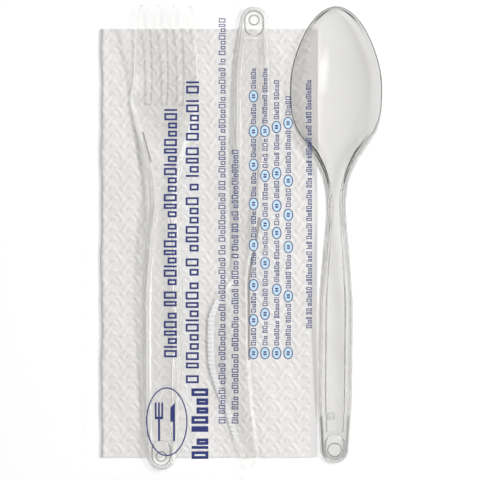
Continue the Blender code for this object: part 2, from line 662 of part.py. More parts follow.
def film_section(columns, heights, rise):
    """One section of the film tube, from the hidden lap's edge round to the outer lap's edge."""
    side = columns[-1]
    flat, floor = FILM_WALL / 2, FILM_FLOOR + FILM_WALL / 2
    middle = (floor + flat) / 2
    lift = (1 - rise) * (FILM_WALL + GAP) + rise * (heights[0] - floor)
    path = [(FILM_SEAL_LAP, flat), (0.0, flat)]
    path += bend((0.0, middle), middle - flat, -90.0, -180.0, 4)[1:]
    path += straight(0.0, -side, floor, 3)
    turn = bend((0.0, 0.0), FILM_SIDE_RADIUS, -90.0, -180.0, 4)
    round_side = [(x, floor + (z / FILM_SIDE_RADIUS + 1) / 2 * lift) for x, z in turn]
    path += [(x - side, z) for x, z in round_side]
    path += [(x, floor + lift + rise * (h - heights[0])) for x, h in zip(columns, heights)][1:-1]
    path += [(side - x, z) for x, z in reversed(round_side)]
    lap = 2 * FILM_LAP_TURN
    path += straight(side, lap, floor, 3) + [(lap, floor), (FILM_LAP_TURN, (floor + middle) / 2)]
    return path + [(lap, middle), (FILM_SEAL_LAP, middle)]


def make_film(group, contents):
    """The clear wrapper: a tube of thin film drawn over the contents, pinched flat at both ends."""
    points = content_points(contents)
    half = max(abs(point.y) for point in points) + FILM_SLACK
    turns = np.linspace(-FILM_COLUMN_TURN, FILM_COLUMN_TURN, FILM_COLUMNS)
    columns = np.sin(turns) / math.sin(FILM_COLUMN_TURN) * (FILM_HALF_WIDTH - FILM_SIDE_RADIUS)
    places = np.linspace(-half, half, FILM_ROWS)
    heights = drape(columns, places, points, NAPKIN_TOP + GAP)
    shares = [(0.35, 0.65), (0.7, 0.3), (1.0, 0.0)]
    ends = [(half + FILM_END_SLOPE * run, rise) for run, rise in shares]
    ends.append((half + FILM_END_SLOPE + FILM_END_SEAL, 0.0))
    sections = [(-y, film_section(columns, heights[0], rise)) for y, rise in reversed(ends)]
    sections += [(y, film_section(columns, row, 1.0)) for y, row in zip(places, heights)]
    sections += [(y, film_section(columns, heights[-1], rise)) for y, rise in ends]
    swept_sheet("film_wrapper", sections, FILM_WALL, group, CLEAR_FILM)


def main():
    """Build the kit."""
    clear_scene()
    group = make_collection("cutlery_kit")
    cutters = make_collection("cutters")
    make_napkin(group)
    make_fork(group, cutters)
    make_knife(group, cutters)
    make_spoon(group, cutters)
    make_film(group, list(group.objects))


main()
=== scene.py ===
"""Looks of the cutlery kit: clear cutlery on a folded tissue napkin, in a printed film wrapper.

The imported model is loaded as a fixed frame, and each piece is built again in finer detail where
its solid lies. Sizes are in millimetres in the row's frame, and the meshes are in metres.
"""

import json
import logging
import math
from dataclasses import dataclass, field
from enum import Enum
from typing import Callable, Iterable, Sequence

import bmesh
import bpy
import numpy as np
from mathutils import Matrix, Vector
from mathutils.bvhtree import BVHTree

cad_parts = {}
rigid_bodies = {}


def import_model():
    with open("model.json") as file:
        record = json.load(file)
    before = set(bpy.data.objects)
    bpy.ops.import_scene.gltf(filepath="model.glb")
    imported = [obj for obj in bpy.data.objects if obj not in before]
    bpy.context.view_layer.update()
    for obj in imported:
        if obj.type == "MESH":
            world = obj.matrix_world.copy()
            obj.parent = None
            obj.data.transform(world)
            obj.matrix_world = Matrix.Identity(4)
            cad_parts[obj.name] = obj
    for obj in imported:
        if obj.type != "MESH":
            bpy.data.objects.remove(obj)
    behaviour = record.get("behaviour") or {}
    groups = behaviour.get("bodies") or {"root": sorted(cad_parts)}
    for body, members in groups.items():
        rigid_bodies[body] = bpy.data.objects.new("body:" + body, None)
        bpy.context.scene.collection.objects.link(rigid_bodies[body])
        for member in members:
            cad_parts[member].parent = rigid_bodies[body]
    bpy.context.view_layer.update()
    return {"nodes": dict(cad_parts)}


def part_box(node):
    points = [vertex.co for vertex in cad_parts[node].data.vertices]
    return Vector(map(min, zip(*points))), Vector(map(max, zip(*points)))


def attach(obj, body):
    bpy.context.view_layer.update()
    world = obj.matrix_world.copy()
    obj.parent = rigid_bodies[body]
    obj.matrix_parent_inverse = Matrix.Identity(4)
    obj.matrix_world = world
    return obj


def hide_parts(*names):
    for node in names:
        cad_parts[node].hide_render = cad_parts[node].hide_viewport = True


LOG = logging.getLogger("cutlery_kit")
MM = 0.001
BODY = "root"
BEND_SLOT = 1
SHARP_ANGLE = math.radians(32.0)
WHITE = "FFFFFF"

Stations = Sequence[tuple[float, float]]
Hollow = Callable[[np.ndarray, float], np.ndarray]
Point2 = tuple[float, float]
Point3 = tuple[float, float, float]


def linear(code: str, alpha: float = 1.0) -> tuple[float, float, float, float]:
    """Turn an sRGB hex colour into linear light.

    Args:
        code: Six hex digits, such as "E8E6E2".
        alpha: The fourth value of the colour.

    Returns:
        Red, green, blue and alpha, each from 0 to 1.
    """
    parts = [int(code[i:i + 2], 16) / 255 for i in (0, 2, 4)]
    light = [c / 12.92 if c <= 0.04045 else ((c + 0.055) / 1.055) ** 2.4 for c in parts]
    return light[0], light[1], light[2], alpha


def set_sockets(tree: bpy.types.NodeTree, node: bpy.types.Node, sockets: dict) -> None:
    """Feed a node's inputs.

    Args:
        tree: The node tree that holds the node.
        node: The node.
        sockets: For each input, by name or number, its own value or the output that feeds it.
    """
    for name, value in sockets.items():
        if isinstance(value, bpy.types.NodeSocket):
            tree.links.new(value, node.inputs[name])
        else:
            node.inputs[name].default_value = value


def add_node(tree: bpy.types.NodeTree, kind: str, settings: dict | None = None,
             sockets: dict | None = None) -> bpy.types.Node:
    """Add a node with its settings, its sockets' values and its links.

    Args:
        tree: The node tree that takes the node.
        kind: The node's type, such as "ShaderNodeTexNoise".
        settings: Properties of the node itself.
        sockets: For each input, by name or number, its own value or the output that feeds it.

    Returns:
        The new node.
    """
    node = tree.nodes.new(kind)
    for name, value in (settings or {}).items():
        setattr(node, name, value)
    set_sockets(tree, node, sockets or {})
    return node


def set_stops(node: bpy.types.Node, stops: Stations) -> None:
    """Give a colour ramp its grey levels.

    Args:
        node: The ramp's node, with its two first stops at 0 and 1.
        stops: Pairs of a place and the grey level there.
    """
    elements, ends = node.color_ramp.elements, {0.0: 0, 1.0: -1}
    for place, grey in stops:
        stop = elements[ends[place]] if place in ends else elements.new(place)
        stop.color = (grey, grey, grey, 1.0)


def blank_material(name: str) -> tuple[bpy.types.Material, bpy.types.NodeTree, bpy.types.Node]:
    """Make a material that holds only its output and a Principled shader.

    Args:
        name: The material's name.

    Returns:
        The material, its node tree and the shader.
    """
    material = bpy.data.materials.new(name)
    material.use_nodes = True
    tree = material.node_tree
    return material, tree, tree.nodes["Principled BSDF"]


def smooth(stations: Stations, places: np.ndarray) -> np.ndarray:
    """Read a smooth curve through stations that never overshoots them.

    Args:
        stations: Pairs of a place and the value there.
        places: Where the curve is read.

    Returns:
        The values at the places.
    """
    spot, value = np.array(stations, dtype=float).T
    places = np.clip(places, spot[0], spot[-1])
    step = np.diff(spot)
    slope = np.diff(value) / step
    before, after = slope[:-1], slope[1:]
    same = before * after > 0
    inner = np.where(same, 2 * before * after / np.where(same, before + after, 1.0), 0.0)
    tangent = np.concatenate(([slope[0]], inner, [slope[-1]]))
    i = np.clip(np.searchsorted(spot, places, side="right") - 1, 0, len(step) - 1)
    t = (places - spot[i]) / step[i]
    start = (1 + 2 * t) * (1 - t) ** 2 * value[i] + t * (1 - t) ** 2 * step[i] * tangent[i]
    stop = t * t * (3 - 2 * t) * value[i + 1] + t * t * (t - 1) * step[i] * tangent[i + 1]
    return start + stop


def ease(places: np.ndarray | float, start: float, stop: float) -> np.ndarray:
    """Rise from 0 at start to 1 at stop on an S-shaped curve.

    Args:
        places: Where the curve is read.
        start: The last place at 0.
        stop: The first place at 1.

    Returns:
        The values at the places.
    """
    t = np.clip((places - start) / (stop - start), 0.0, 1.0)
    return t * t * (3 - 2 * t)


def arc(centre: Point2, radius: float, start: float, sweep: float, steps: int) -> list[Point2]:
    """Points on an arc in a plane.

    Args:
        centre: The arc's centre.
        radius: Its radius.
        start: The angle of its first point, in degrees.
        sweep: The angle that it turns through, in degrees.
        steps: How many chords it has.

    Returns:
        The points.
    """
    angles = [math.radians(start + sweep * i / steps) for i in range(steps + 1)]
    return [(centre[0] + radius * math.cos(a), centre[1] + radius * math.sin(a)) for a in angles]


def finished_mesh(name: str, bm: bmesh.types.BMesh) -> bpy.types.Mesh:
    """Turn a bmesh in millimetres into a mesh in metres.

    Args:
        name: The mesh's name.
        bm: The bmesh, which is freed.

    Returns:
        The mesh, with its faces turned outwards.
    """
    bmesh.ops.recalc_face_normals(bm, faces=bm.faces[:])
    bmesh.ops.scale(bm, vec=(MM, MM, MM), verts=bm.verts[:])
    mesh = bpy.data.meshes.new(name)
    bm.to_mesh(mesh)
    bm.free()
    return mesh


def loft(name: str, rings: Sequence[tuple[float, Sequence[Point2]]]) -> bpy.types.Mesh:
    """Make a closed form through level outlines that all have as many corners.

    Args:
        name: The mesh's name.
        rings: Each outline's level and corners, from the foot up.

    Returns:
        The form's mesh.
    """
    bm = bmesh.new()
    levels = [[bm.verts.new((x, y, level)) for x, y in outline] for level, outline in rings]
    for lower, upper in zip(levels, levels[1:]):
        for i in range(len(lower)):
            bm.faces.new((lower[i - 1], lower[i], upper[i], upper[i - 1]))
    bm.faces.new(levels[0][::-1])
    bm.faces.new(levels[-1])
    return finished_mesh(name, bm)


def prism(name: str, outline: Sequence[Point2], low: float, high: float) -> bpy.types.Mesh:
    """Make a straight prism over an outline.

    Args:
        name: The mesh's name.
        outline: The outline's corners.
        low: The level of its foot.
        high: The level of its top.

    Returns:
        The prism's mesh.
    """
    return loft(name, ((low, outline), (high, outline)))


def long_round(half: float, radius: float, steps: int) -> list[Point2]:
    """The outline of a long round shape along Y.

    Args:
        half: Half the length of its straight sides.
        radius: The radius of its ends.
        steps: How many chords each end has.

    Returns:
        The outline's corners.
    """
    far_end = arc((0.0, half), radius, 0.0, 180.0, steps)
    return far_end + arc((0.0, -half), radius, 180.0, 180.0, steps)


def grid_mesh(name: str, points: np.ndarray) -> bpy.types.Mesh:
    """Make an open surface through a grid of points.

    Args:
        name: The mesh's name.
        points: Points in millimetres, as rows by columns by three.

    Returns:
        The surface's mesh.
    """
    rows, columns = points.shape[:2]
    first = (np.arange(rows - 1)[:, None] * columns + np.arange(columns - 1)[None, :]).ravel()
    faces = np.stack([first, first + 1, first + columns + 1, first + columns], axis=1)
    mesh = bpy.data.meshes.new(name)
    mesh.from_pydata((points.reshape(-1, 3) * MM).tolist(), [], faces.tolist())
    mesh.shade_smooth()
    return mesh


def added(name: str, mesh: bpy.types.Mesh,
          material: bpy.types.Material | None = None) -> bpy.types.Object:
    """Put a mesh into the scene.

    Args:
        name: The object's name.
        mesh: Its mesh.
        material: Its finish, if it is shown.

    Returns:
        The object.
    """
    item = bpy.data.objects.new(name, mesh)
    bpy.context.scene.collection.objects.link(item)
    if material:
        mesh.materials.append(material)
    return item


@dataclass(frozen=True)
class MouldedPolystyrene:
    """General-purpose polystyrene, injection moulded in a polished tool.

    It gives the eye glass-clear walls with a faint grey cast, milkier where they turn away from
    it and darkened there by a painted shade, a soft bright line of painted glow where they begin
    to bend, and soft flow waves between the way in and the ends.
    """

    name: str = "moulded_polystyrene"
    colour: str = "FBFAF8"
    flow_colour: str = "F8F7F5"
    painted_wall_shade: str = "4A4947"
    wall_spread: float = 2.2
    wall_milk: float = 0.8
    milk_spread: float = 1.3
    painted_bend_glow: float = 0.22
    painted_glow_range: Point3 = (0.06, 0.2, 0.4)
    face_shadow: str = WHITE
    wall_shadow: str = "2E2D2B"
    shadow_spread: float = 1.2
    ior: float = 1.59
    polish: Point2 = (0.015, 0.06)
    flow_spacing: float = 14.0
    flow_height: float = 0.01
    flow_strength: float = 0.25

    def material(self) -> bpy.types.Material:
        """Make the material.

        Returns:
            The material.
        """
        material, tree, shader = blank_material(self.name)
        place = add_node(tree, "ShaderNodeTexCoord").outputs["Object"]
        flow = add_node(tree, "ShaderNodeTexNoise", sockets={
            "Vector": place, "Scale": 1 / (self.flow_spacing * MM), "Detail": 2.0,
            "Roughness": 0.4}).outputs["Fac"]
        cast = add_node(tree, "ShaderNodeMix", {"data_type": "RGBA"}, {
            "Factor": flow, "A": linear(self.colour), "B": linear(self.flow_colour)})
        facing = add_node(tree, "ShaderNodeLayerWeight", sockets={"Blend": 0.5}).outputs["Facing"]
        walls = add_node(tree, "ShaderNodeMath", {"operation": "POWER"},
                         {0: facing, 1: self.wall_spread})
        # Painted shade: the colour darkens towards the wall shade as the walls turn away from the
        # eye.
        tint = add_node(tree, "ShaderNodeMix", {"data_type": "RGBA"}, {
            "Factor": walls.outputs[0], "A": cast.outputs["Result"], "B": linear(self.painted_wall_shade)})
        polish = add_node(tree, "ShaderNodeMapRange", sockets={
            "Value": flow, "To Min": self.polish[0], "To Max": self.polish[1]})
        waves = add_node(tree, "ShaderNodeBump", sockets={
            "Height": flow, "Strength": self.flow_strength, "Distance": self.flow_height * MM})
        set_sockets(tree, shader, {
            "Base Color": tint.outputs["Result"], "Roughness": polish.outputs["Result"],
            "Normal": waves.outputs["Normal"], "Transmission Weight": 1.0, "IOR": self.ior})
        self.milk_walls_and_paint_bend_glow(tree, shader, facing)
        self.let_light_through(tree, shader)
        return material

    def milk_walls_and_paint_bend_glow(self, tree: bpy.types.NodeTree, shader: bpy.types.Node,
                        facing: bpy.types.NodeSocket) -> None:
        """Make the walls milky and the bends bright, as far as this finish has them so.

        Args:
            tree: The material's node tree.
            shader: What the eye sees.
            facing: How far the surface turns away from the eye.
        """
        if self.wall_milk:
            milky = add_node(tree, "ShaderNodeMath", {"operation": "POWER"},
                             {0: facing, 1: self.milk_spread})
            clearness = add_node(tree, "ShaderNodeMapRange", sockets={
                "Value": milky.outputs[0], "To Min": 1.0, "To Max": 1.0 - self.wall_milk})
            set_sockets(tree, shader, {"Transmission Weight": clearness.outputs["Result"]})
        # Painted highlight: a white glow, with no lamp behind it, stands for the bright line on the
        # bends.
        if self.painted_bend_glow:
            bends = add_node(tree, "ShaderNodeValToRGB", sockets={"Fac": facing})
            first, brightest, last = self.painted_glow_range
            set_stops(bends, ((0.0, 0.0), (first, 0.0), (brightest, 1.0), (last, 0.0), (1.0, 0.0)))
            glow = add_node(tree, "ShaderNodeMath", {"operation": "MULTIPLY"},
                            {0: bends.outputs["Color"], 1: self.painted_bend_glow})
            set_sockets(tree, shader, {"Emission Strength": glow.outputs[0],
                                       "Emission Color": linear(WHITE)})

    def let_light_through(self, tree: bpy.types.NodeTree, shader: bpy.types.Node) -> None:
        """Let lamplight pass unbent, less of it through the walls that it only grazes.

        Args:
            tree: The material's node tree.
            shader: What the eye sees.
        """
        facing = add_node(tree, "ShaderNodeLayerWeight", sockets={"Blend": 0.5}).outputs["Facing"]
        steep = add_node(tree, "ShaderNodeMath", {"operation": "POWER"},
                         {0: facing, 1: self.shadow_spread})
        shade = add_node(tree, "ShaderNodeMix", {"data_type": "RGBA"}, {
            "Factor": steep.outputs[0], "A": linear(self.face_shadow),
            "B": linear(self.wall_shadow)})
        passed = add_node(tree, "ShaderNodeBsdfTransparent",
                          sockets={"Color": shade.outputs["Result"]}).outputs[0]
        path = add_node(tree, "ShaderNodeLightPath")
        seen = shader.outputs[0]
        for ray in ("Is Diffuse Ray", "Is Shadow Ray"):
            seen = add_node(tree, "ShaderNodeMixShader",
                            sockets={0: path.outputs[ray], 1: seen, 2: passed}).outputs[0]
        tree.links.new(seen, tree.nodes["Material Output"].inputs["Surface"])


@dataclass(frozen=True)
class SpoonShadePolystyrene(MouldedPolystyrene):
    """The same polystyrene as it looks in the spoon, which lies off the white napkin.

    It gives the eye clear walls with a greyer cast, which is a painted shade, and which are
    neither milky nor bright.
    """

    name: str = "moulded_polystyrene_grey"
    colour: str = "E8E7E5"
    flow_colour: str = "DFDEDC"
    painted_wall_shade: str = "A5A4A2"
    wall_spread: float = 1.5
    wall_milk: float = 0.0
    painted_bend_glow: float = 0.0


@dataclass(frozen=True)
class BendShadePolystyrene(MouldedPolystyrene):
    """The same polystyrene where a tight bend sends the light away from the eye.

    It gives the eye dark grey rings and strips of painted shade that stay clear.
    """

    name: str = "moulded_polystyrene_bend"
    colour: str = "8E8D8B"
    flow_colour: str = "868583"
    painted_wall_shade: str = "5A5957"
    painted_bend_glow: float = 0.0


@dataclass(frozen=True)
class RibbedPolystyrene(MouldedPolystyrene):
    """The same polystyrene where the tool is ribbed and spark eroded, along the saw edge.

    It gives the eye a frosted white band with fine ribs across it. The little light of its own
    is a painted glow that stands for what the frost scatters.
    """

    name: str = "ribbed_polystyrene"
    colour: str = WHITE
    face_shadow: str = "8E8D8B"
    frost: Point2 = (0.3, 0.45)
    painted_scatter_glow: float = 0.12
    rib_pitch: float = 1.7
    rib_height: float = 0.3
    rib_strength: float = 0.6

    def material(self) -> bpy.types.Material:
        """Make the material.

        Returns:
            The material.
        """
        material, tree, shader = blank_material(self.name)
        place = add_node(tree, "ShaderNodeTexCoord").outputs["Object"]
        # The bands of a wave texture lie pi / (10 * scale) apart.
        ribs = add_node(tree, "ShaderNodeTexWave", {"bands_direction": "Y"}, {
            "Vector": place, "Scale": math.pi / (10 * self.rib_pitch * MM)}).outputs["Fac"]
        frost = add_node(tree, "ShaderNodeMapRange", sockets={
            "Value": ribs, "To Min": self.frost[0], "To Max": self.frost[1]})
        relief = add_node(tree, "ShaderNodeBump", sockets={
            "Height": ribs, "Strength": self.rib_strength, "Distance": self.rib_height * MM})
        # Painted glow: the band gives a little light of its own for what the frost scatters.
        set_sockets(tree, shader, {
            "Roughness": frost.outputs["Result"], "Normal": relief.outputs["Normal"],
            "Base Color": linear(self.colour), "Emission Color": linear(WHITE),
            "Emission Strength": self.painted_scatter_glow, "IOR": self.ior, "Transmission Weight": 0.0})
        self.let_light_through(tree, shader)
        return material


@dataclass(frozen=True)
class EmbossedTissue:
    """Two-ply tissue paper, creped, then embossed between rollers.

    It gives the eye a matt off-white with a soft fibre grain and slightly warm and cool patches.
    The fibres are drawn coarser than real ones, so that they show.
    """

    name: str = "embossed_tissue"
    colour: str = "EDEBE8"
    cool_colour: str = "E7E6E6"
    fibre_size: float = 0.9
    fibre_height: float = 0.08
    fibre_strength: float = 0.8
    patch_size: float = 30.0
    roughness: float = 0.95
    specular: float = 0.2
    sheen: float = 0.1

    def material(self) -> bpy.types.Material:
        """Make the material.

        Returns:
            The material.
        """
        material, tree, shader = blank_material(self.name)
        place = add_node(tree, "ShaderNodeTexCoord").outputs["Object"]
        patch = add_node(tree, "ShaderNodeTexNoise", sockets={
            "Vector": place, "Scale": 1 / (self.patch_size * MM), "Detail": 3.0})
        fibre = add_node(tree, "ShaderNodeTexNoise", sockets={
            "Vector": place, "Scale": 1 / (self.fibre_size * MM), "Detail": 4.0,
            "Roughness": 0.7, "Distortion": 0.6})
        tone = add_node(tree, "ShaderNodeMix", {"data_type": "RGBA"}, {
            "Factor": patch.outputs["Fac"], "A": linear(self.colour),
            "B": linear(self.cool_colour)})
        grain = add_node(tree, "ShaderNodeBump", sockets={
            "Height": fibre.outputs["Fac"], "Strength": self.fibre_strength,
            "Distance": self.fibre_height * MM})
        set_sockets(tree, shader, {
            "Base Color": tone.outputs["Result"], "Normal": grain.outputs["Normal"],
            "Roughness": self.roughness, "Specular IOR Level": self.specular,
            "Sheen Weight": self.sheen})
        return material


@dataclass(frozen=True)
class PolypropyleneFilm:
    """Clear cast polypropylene film, 30 micrometres, drawn tight and heat sealed.

    It gives the eye almost nothing straight on, a pale veil of painted sheen where it turns away,
    which stands for its reflection there, and soft bright streaks along its creases.
    """

    name: str = "polypropylene_film"
    colour: str = "F7F9FA"
    veil: float = 0.012
    painted_edge_sheen: float = 0.35
    veil_spread: float = 3.0
    haze: Point2 = (0.06, 0.16)
    ior: float = 1.49
    crease_size: float = 9.0
    crease_length: float = 30.0
    crease_height: float = 0.3
    crease_strength: float = 0.6

    def material(self) -> bpy.types.Material:
        """Make the material.

        Returns:
            The material.
        """
        material, tree, shader = blank_material(self.name)
        place = add_node(tree, "ShaderNodeTexCoord").outputs["Object"]
        stretch = add_node(tree, "ShaderNodeMapping", sockets={
            "Vector": place, "Scale": (1.0, self.crease_size / self.crease_length, 1.0)})
        crease = add_node(tree, "ShaderNodeTexNoise", sockets={
            "Vector": stretch.outputs["Vector"], "Scale": 1 / (self.crease_size * MM),
            "Detail": 3.0, "Roughness": 0.6}).outputs["Fac"]
        bend = add_node(tree, "ShaderNodeBump", sockets={
            "Height": crease, "Strength": self.crease_strength,
            "Distance": self.crease_height * MM})
        haze = add_node(tree, "ShaderNodeMapRange", sockets={
            "Value": crease, "To Min": self.haze[0], "To Max": self.haze[1]})
        facing = add_node(tree, "ShaderNodeLayerWeight", sockets={"Blend": 0.5}).outputs["Facing"]
        steep = add_node(tree, "ShaderNodeMath", {"operation": "POWER"},
                         {0: facing, 1: self.veil_spread})
        # Painted sheen: the film grows whiter and less clear as it turns away, in place of its
        # reflection.
        veil = add_node(tree, "ShaderNodeMapRange", sockets={
            "Value": steep.outputs[0], "To Min": self.veil, "To Max": self.painted_edge_sheen})
        set_sockets(tree, shader, {
            "Normal": bend.outputs["Normal"], "Roughness": haze.outputs["Result"],
            "Alpha": veil.outputs["Result"], "Base Color": linear(self.colour),
            "IOR": self.ior})
        return material


@dataclass(frozen=True)
class FlexoInk:
    """Flexographic ink, printed on the film's outside and dried.

    It gives the eye an even satin colour, a little mottled where the plate pressed less. The
    mottle is drawn coarser than a real one, so that it shows.
    """

    name: str
    colour: str
    thin_colour: str
    roughness: float = 0.45
    mottle_size: float = 1.6

    def material(self) -> bpy.types.Material:
        """Make the material.

        Returns:
            The material.
        """
        material, tree, shader = blank_material(self.name)
        place = add_node(tree, "ShaderNodeTexCoord").outputs["Object"]
        mottle = add_node(tree, "ShaderNodeTexNoise", sockets={
            "Vector": place, "Scale": 1 / (self.mottle_size * MM), "Detail": 2.0})
        tone = add_node(tree, "ShaderNodeMix", {"data_type": "RGBA"}, {
            "Factor": mottle.outputs["Fac"], "A": linear(self.colour),
            "B": linear(self.thin_colour)})
        set_sockets(tree, shader, {"Base Color": tone.outputs["Result"],
                                   "Roughness": self.roughness})
        return material


class Side(Enum):
    """The two sides of a blank, seen from its handle."""

    LEFT = -1
    RIGHT = 1


@dataclass
class Blank:
    """The moulded blank of one piece of cutlery, described along its length.

    Stations run from the working end. The last stretch, one end radius long, is a round end.
    Shares of the flange's width run from the outline in, and rows are closest at both ends.
    """

    length: float
    end_radius: float
    edges: dict[Side, Stations]
    top: Stations
    wall: Stations
    flange_width: dict[Side, Stations]
    flange_drop: dict[Side, Stations]
    ground_flat: Stations | None = None
    end_shift: float = 0.0
    edge_land: float = 0.6
    steepest: float = 0.45
    fillet: float = 0.3
    wall_foot: float = 0.42
    slant_fade: float = 0.12
    shares: tuple[float, ...] = (0.0, 0.14, 0.28, 0.42, 0.52, 0.62, 0.71, 0.79, 0.86, 0.92, 0.97,
                                 1.0)
    outline_steps: int = 1600
    tip_length: float = 8.0
    tip_rows: int = 14
    end_row_angle: float = 6.0
    least_row_step: float = 0.07

    @property
    def blunt(self) -> bool:
        """Whether the working end has a width of its own."""
        return self.edges[Side.LEFT][0][1] != self.edges[Side.RIGHT][0][1]

    def edge(self, side: Side, places: np.ndarray) -> np.ndarray:
        """Where the outline lies across.

        Args:
            side: The side of the outline.
            places: Places along the blank.

        Returns:
            The outline's distance across at each place.
        """
        start = self.length - self.end_radius
        stations = list(self.edges[side]) + [(start, self.end_shift + side.value * self.end_radius)]
        rooted = [(math.sqrt(place), value) for place, value in stations]
        body = smooth(rooted, np.sqrt(np.clip(places, 0.0, start)))
        from_centre = np.clip(places - start, 0.0, self.end_radius)
        round_end = self.end_shift + side.value * np.sqrt(self.end_radius ** 2 - from_centre ** 2)
        return np.where(places > start, round_end, body)

    def inset(self, side: Side, share: float, places: np.ndarray) -> tuple[np.ndarray, np.ndarray]:
        """Move the outline in by a share of the flange's width.

        Args:
            side: The side of the outline.
            share: The share of the flange's width.
            places: Places along the blank.

        Returns:
            The moved outline, and where it exists.
        """
        turn = np.linspace(0.0, math.pi, self.outline_steps)
        along = self.length * (1 - np.cos(turn)) / 2
        across = self.edge(side, along)
        run, rise = np.gradient(along, turn), np.gradient(across, turn)
        size = np.hypot(run, rise)
        width = share * smooth(self.flange_width[side], along)
        moved_along = along + side.value * width * rise / size
        moved_across = across - side.value * width * run / size
        inside = (places >= moved_along[0]) | self.blunt
        inside &= places <= moved_along[-1]
        return np.interp(places, moved_along, moved_across), inside

    def rows(self, step: float, extra: Iterable[float]) -> np.ndarray:
        """Choose the rows of the surface: close at both ends and even between.

        Args:
            step: The distance between even rows.
            extra: Places that get a row too.

        Returns:
            The rows' places.
        """
        stop = self.length - self.end_radius
        tip = self.tip_length
        places = [tip * (i / self.tip_rows) ** 2 for i in range(self.tip_rows)]
        places += list(np.linspace(tip, stop, round((stop - tip) / step) + 1))
        places += [self.length - self.end_radius * (1 - math.cos(math.radians(a)))
                   for a in np.arange(0.0, 90.0, self.end_row_angle)]
        for side in Side:
            first, last = self.flange_width[side][0][1], self.flange_width[side][-1][1]
            places += [share * first for share in self.shares[1:]]
            places += [self.length - share * last for share in self.shares[1:]]
        kept: list[float] = []
        for place in sorted(places + list(extra)):
            if not kept or place - kept[-1] > self.least_row_step:
                kept.append(place)
        kept[-1] = self.length
        return np.array(kept)

    def fall(self, share: np.ndarray) -> np.ndarray:
        """Bend the flange down from the top, with a fillet between them.

        Args:
            share: Shares of the flange's width, from the outline in.

        Returns:
            The share of the flange's drop at each.
        """
        down = 1 - share
        curved = np.where(down < self.fillet, down ** 2 / (2 * self.fillet), down - self.fillet / 2)
        return curved / (1 - self.fillet / 2)

    def columns(self, places: np.ndarray, fractions: Sequence[float]) -> list[tuple]:
        """Lay out the columns of the top surface, from the left edge to the right.

        Args:
            places: The rows' places.
            fractions: Inner columns, from -1 at the left flange to 1 at the right.

        Returns:
            For each column its side, flange share, place across and inner fraction.
        """
        middle = (self.edge(Side.LEFT, places) + self.edge(Side.RIGHT, places)) / 2
        to_end = self.length - places if self.blunt else np.minimum(places, self.length - places)
        outer, reach = {}, {}
        for side, limit in ((Side.LEFT, np.minimum), (Side.RIGHT, np.maximum)):
            reach[side] = to_end / smooth(self.flange_width[side], places)
            outer[side] = []
            for share in self.shares:
                across, inside = self.inset(side, share, places)
                across = np.where(inside, limit(across, middle), middle)
                capped = np.minimum(share, reach[side])
                outer[side].append((side, capped, across, float(side.value)))
        inner = []
        left, right = outer[Side.LEFT][-1][2], outer[Side.RIGHT][-1][2]
        for fraction in fractions:
            side = Side.LEFT if fraction < 0 else Side.RIGHT
            across = left + (right - left) * (fraction + 1) / 2
            inner.append((side, np.minimum(1.0, reach[side]), across, fraction))
        return outer[Side.LEFT] + inner + outer[Side.RIGHT][::-1]

    def shell(self, name: str, step: float, extra: Iterable[float], fractions: Sequence[float],
              hollow: Hollow) -> bpy.types.Mesh:
        """Make the closed shell: the top, the underside below it, and the land round their rims.

        Args:
            name: The mesh's name.
            step: The distance between even rows.
            extra: Places that get a row too.
            fractions: The inner columns.
            hollow: How deep the top is sunk at each place and fraction.

        Returns:
            The shell's mesh, with the handle's end at the origin.
        """
        places = self.rows(step, extra)
        bm = bmesh.new()
        beneath = self.top_surface(bm, places, fractions, hollow)
        upper = bm.faces[:]
        rim = [edge for edge in bm.edges if edge.is_boundary]
        heights = {}
        for vert, (wall, level, flat, under, slant) in beneath.items():
            thicker = 1 / max(vert.normal.z, self.steepest) - 1
            heights[vert] = flat * level + (1 - flat) * (under - wall * thicker * slant)
        lower = {vert: bm.verts.new((vert.co.x, vert.co.y, z)) for vert, z in heights.items()}
        for face in upper:
            bm.faces.new([lower[vert] for vert in reversed(face.verts)])
        for edge in rim:
            first, second = edge.verts
            bm.faces.new((first, second, lower[second], lower[first]))
        return finished_mesh(name, bm)

    def top_surface(self, bm: bmesh.types.BMesh, places: np.ndarray, fractions: Sequence[float],
                    hollow: Hollow) -> dict:
        """Add the top as an open surface.

        Args:
            bm: The bmesh that takes it.
            places: The rows' places.
            fractions: The inner columns.
            hollow: How deep the top is sunk.

        Returns:
            For each point its wall, a level underside and how much that counts, the underside's
            level, and how much its slant thickens the wall.
        """
        top, wall = smooth(self.top, places), smooth(self.wall, places)
        known, beneath, columns = {}, {}, []
        for side, share, across, fraction in self.columns(places, fractions):
            drop = smooth(self.flange_drop[side], places)
            height = top - drop * self.fall(share) - hollow(places, fraction)
            ground = self.ground_flat if side is Side.RIGHT and self.ground_flat else None
            flat = np.zeros(len(places))
            if ground and abs(fraction) == 1:
                flat = smooth(ground, places)
            rim = top - drop - min(self.edge_land, float(wall.min()))
            sunk = top - wall - hollow(places, fraction)
            under = rim + (sunk - rim) * ease(share, self.wall_foot, 1.0)
            slant = float(ease(1 - abs(fraction), 0.0, self.slant_fade))
            column = []
            for i, (x, s, z) in enumerate(zip(across, places, height)):
                key = (round(x, 3), round(s, 3))
                if key not in known:
                    known[key] = bm.verts.new((x, self.length - s, z))
                    beneath[known[key]] = (wall[i], top[i] - wall[i], flat[i], under[i], slant)
                column.append(known[key])
            columns.append(column)
        for first, second in zip(columns[:-1], columns[1:]):
            for i in range(len(places) - 1):
                ring = list(dict.fromkeys((first[i], first[i + 1], second[i + 1], second[i])))
                if len(ring) > 2:
                    bm.faces.new(ring)
        bm.normal_update()
        return beneath


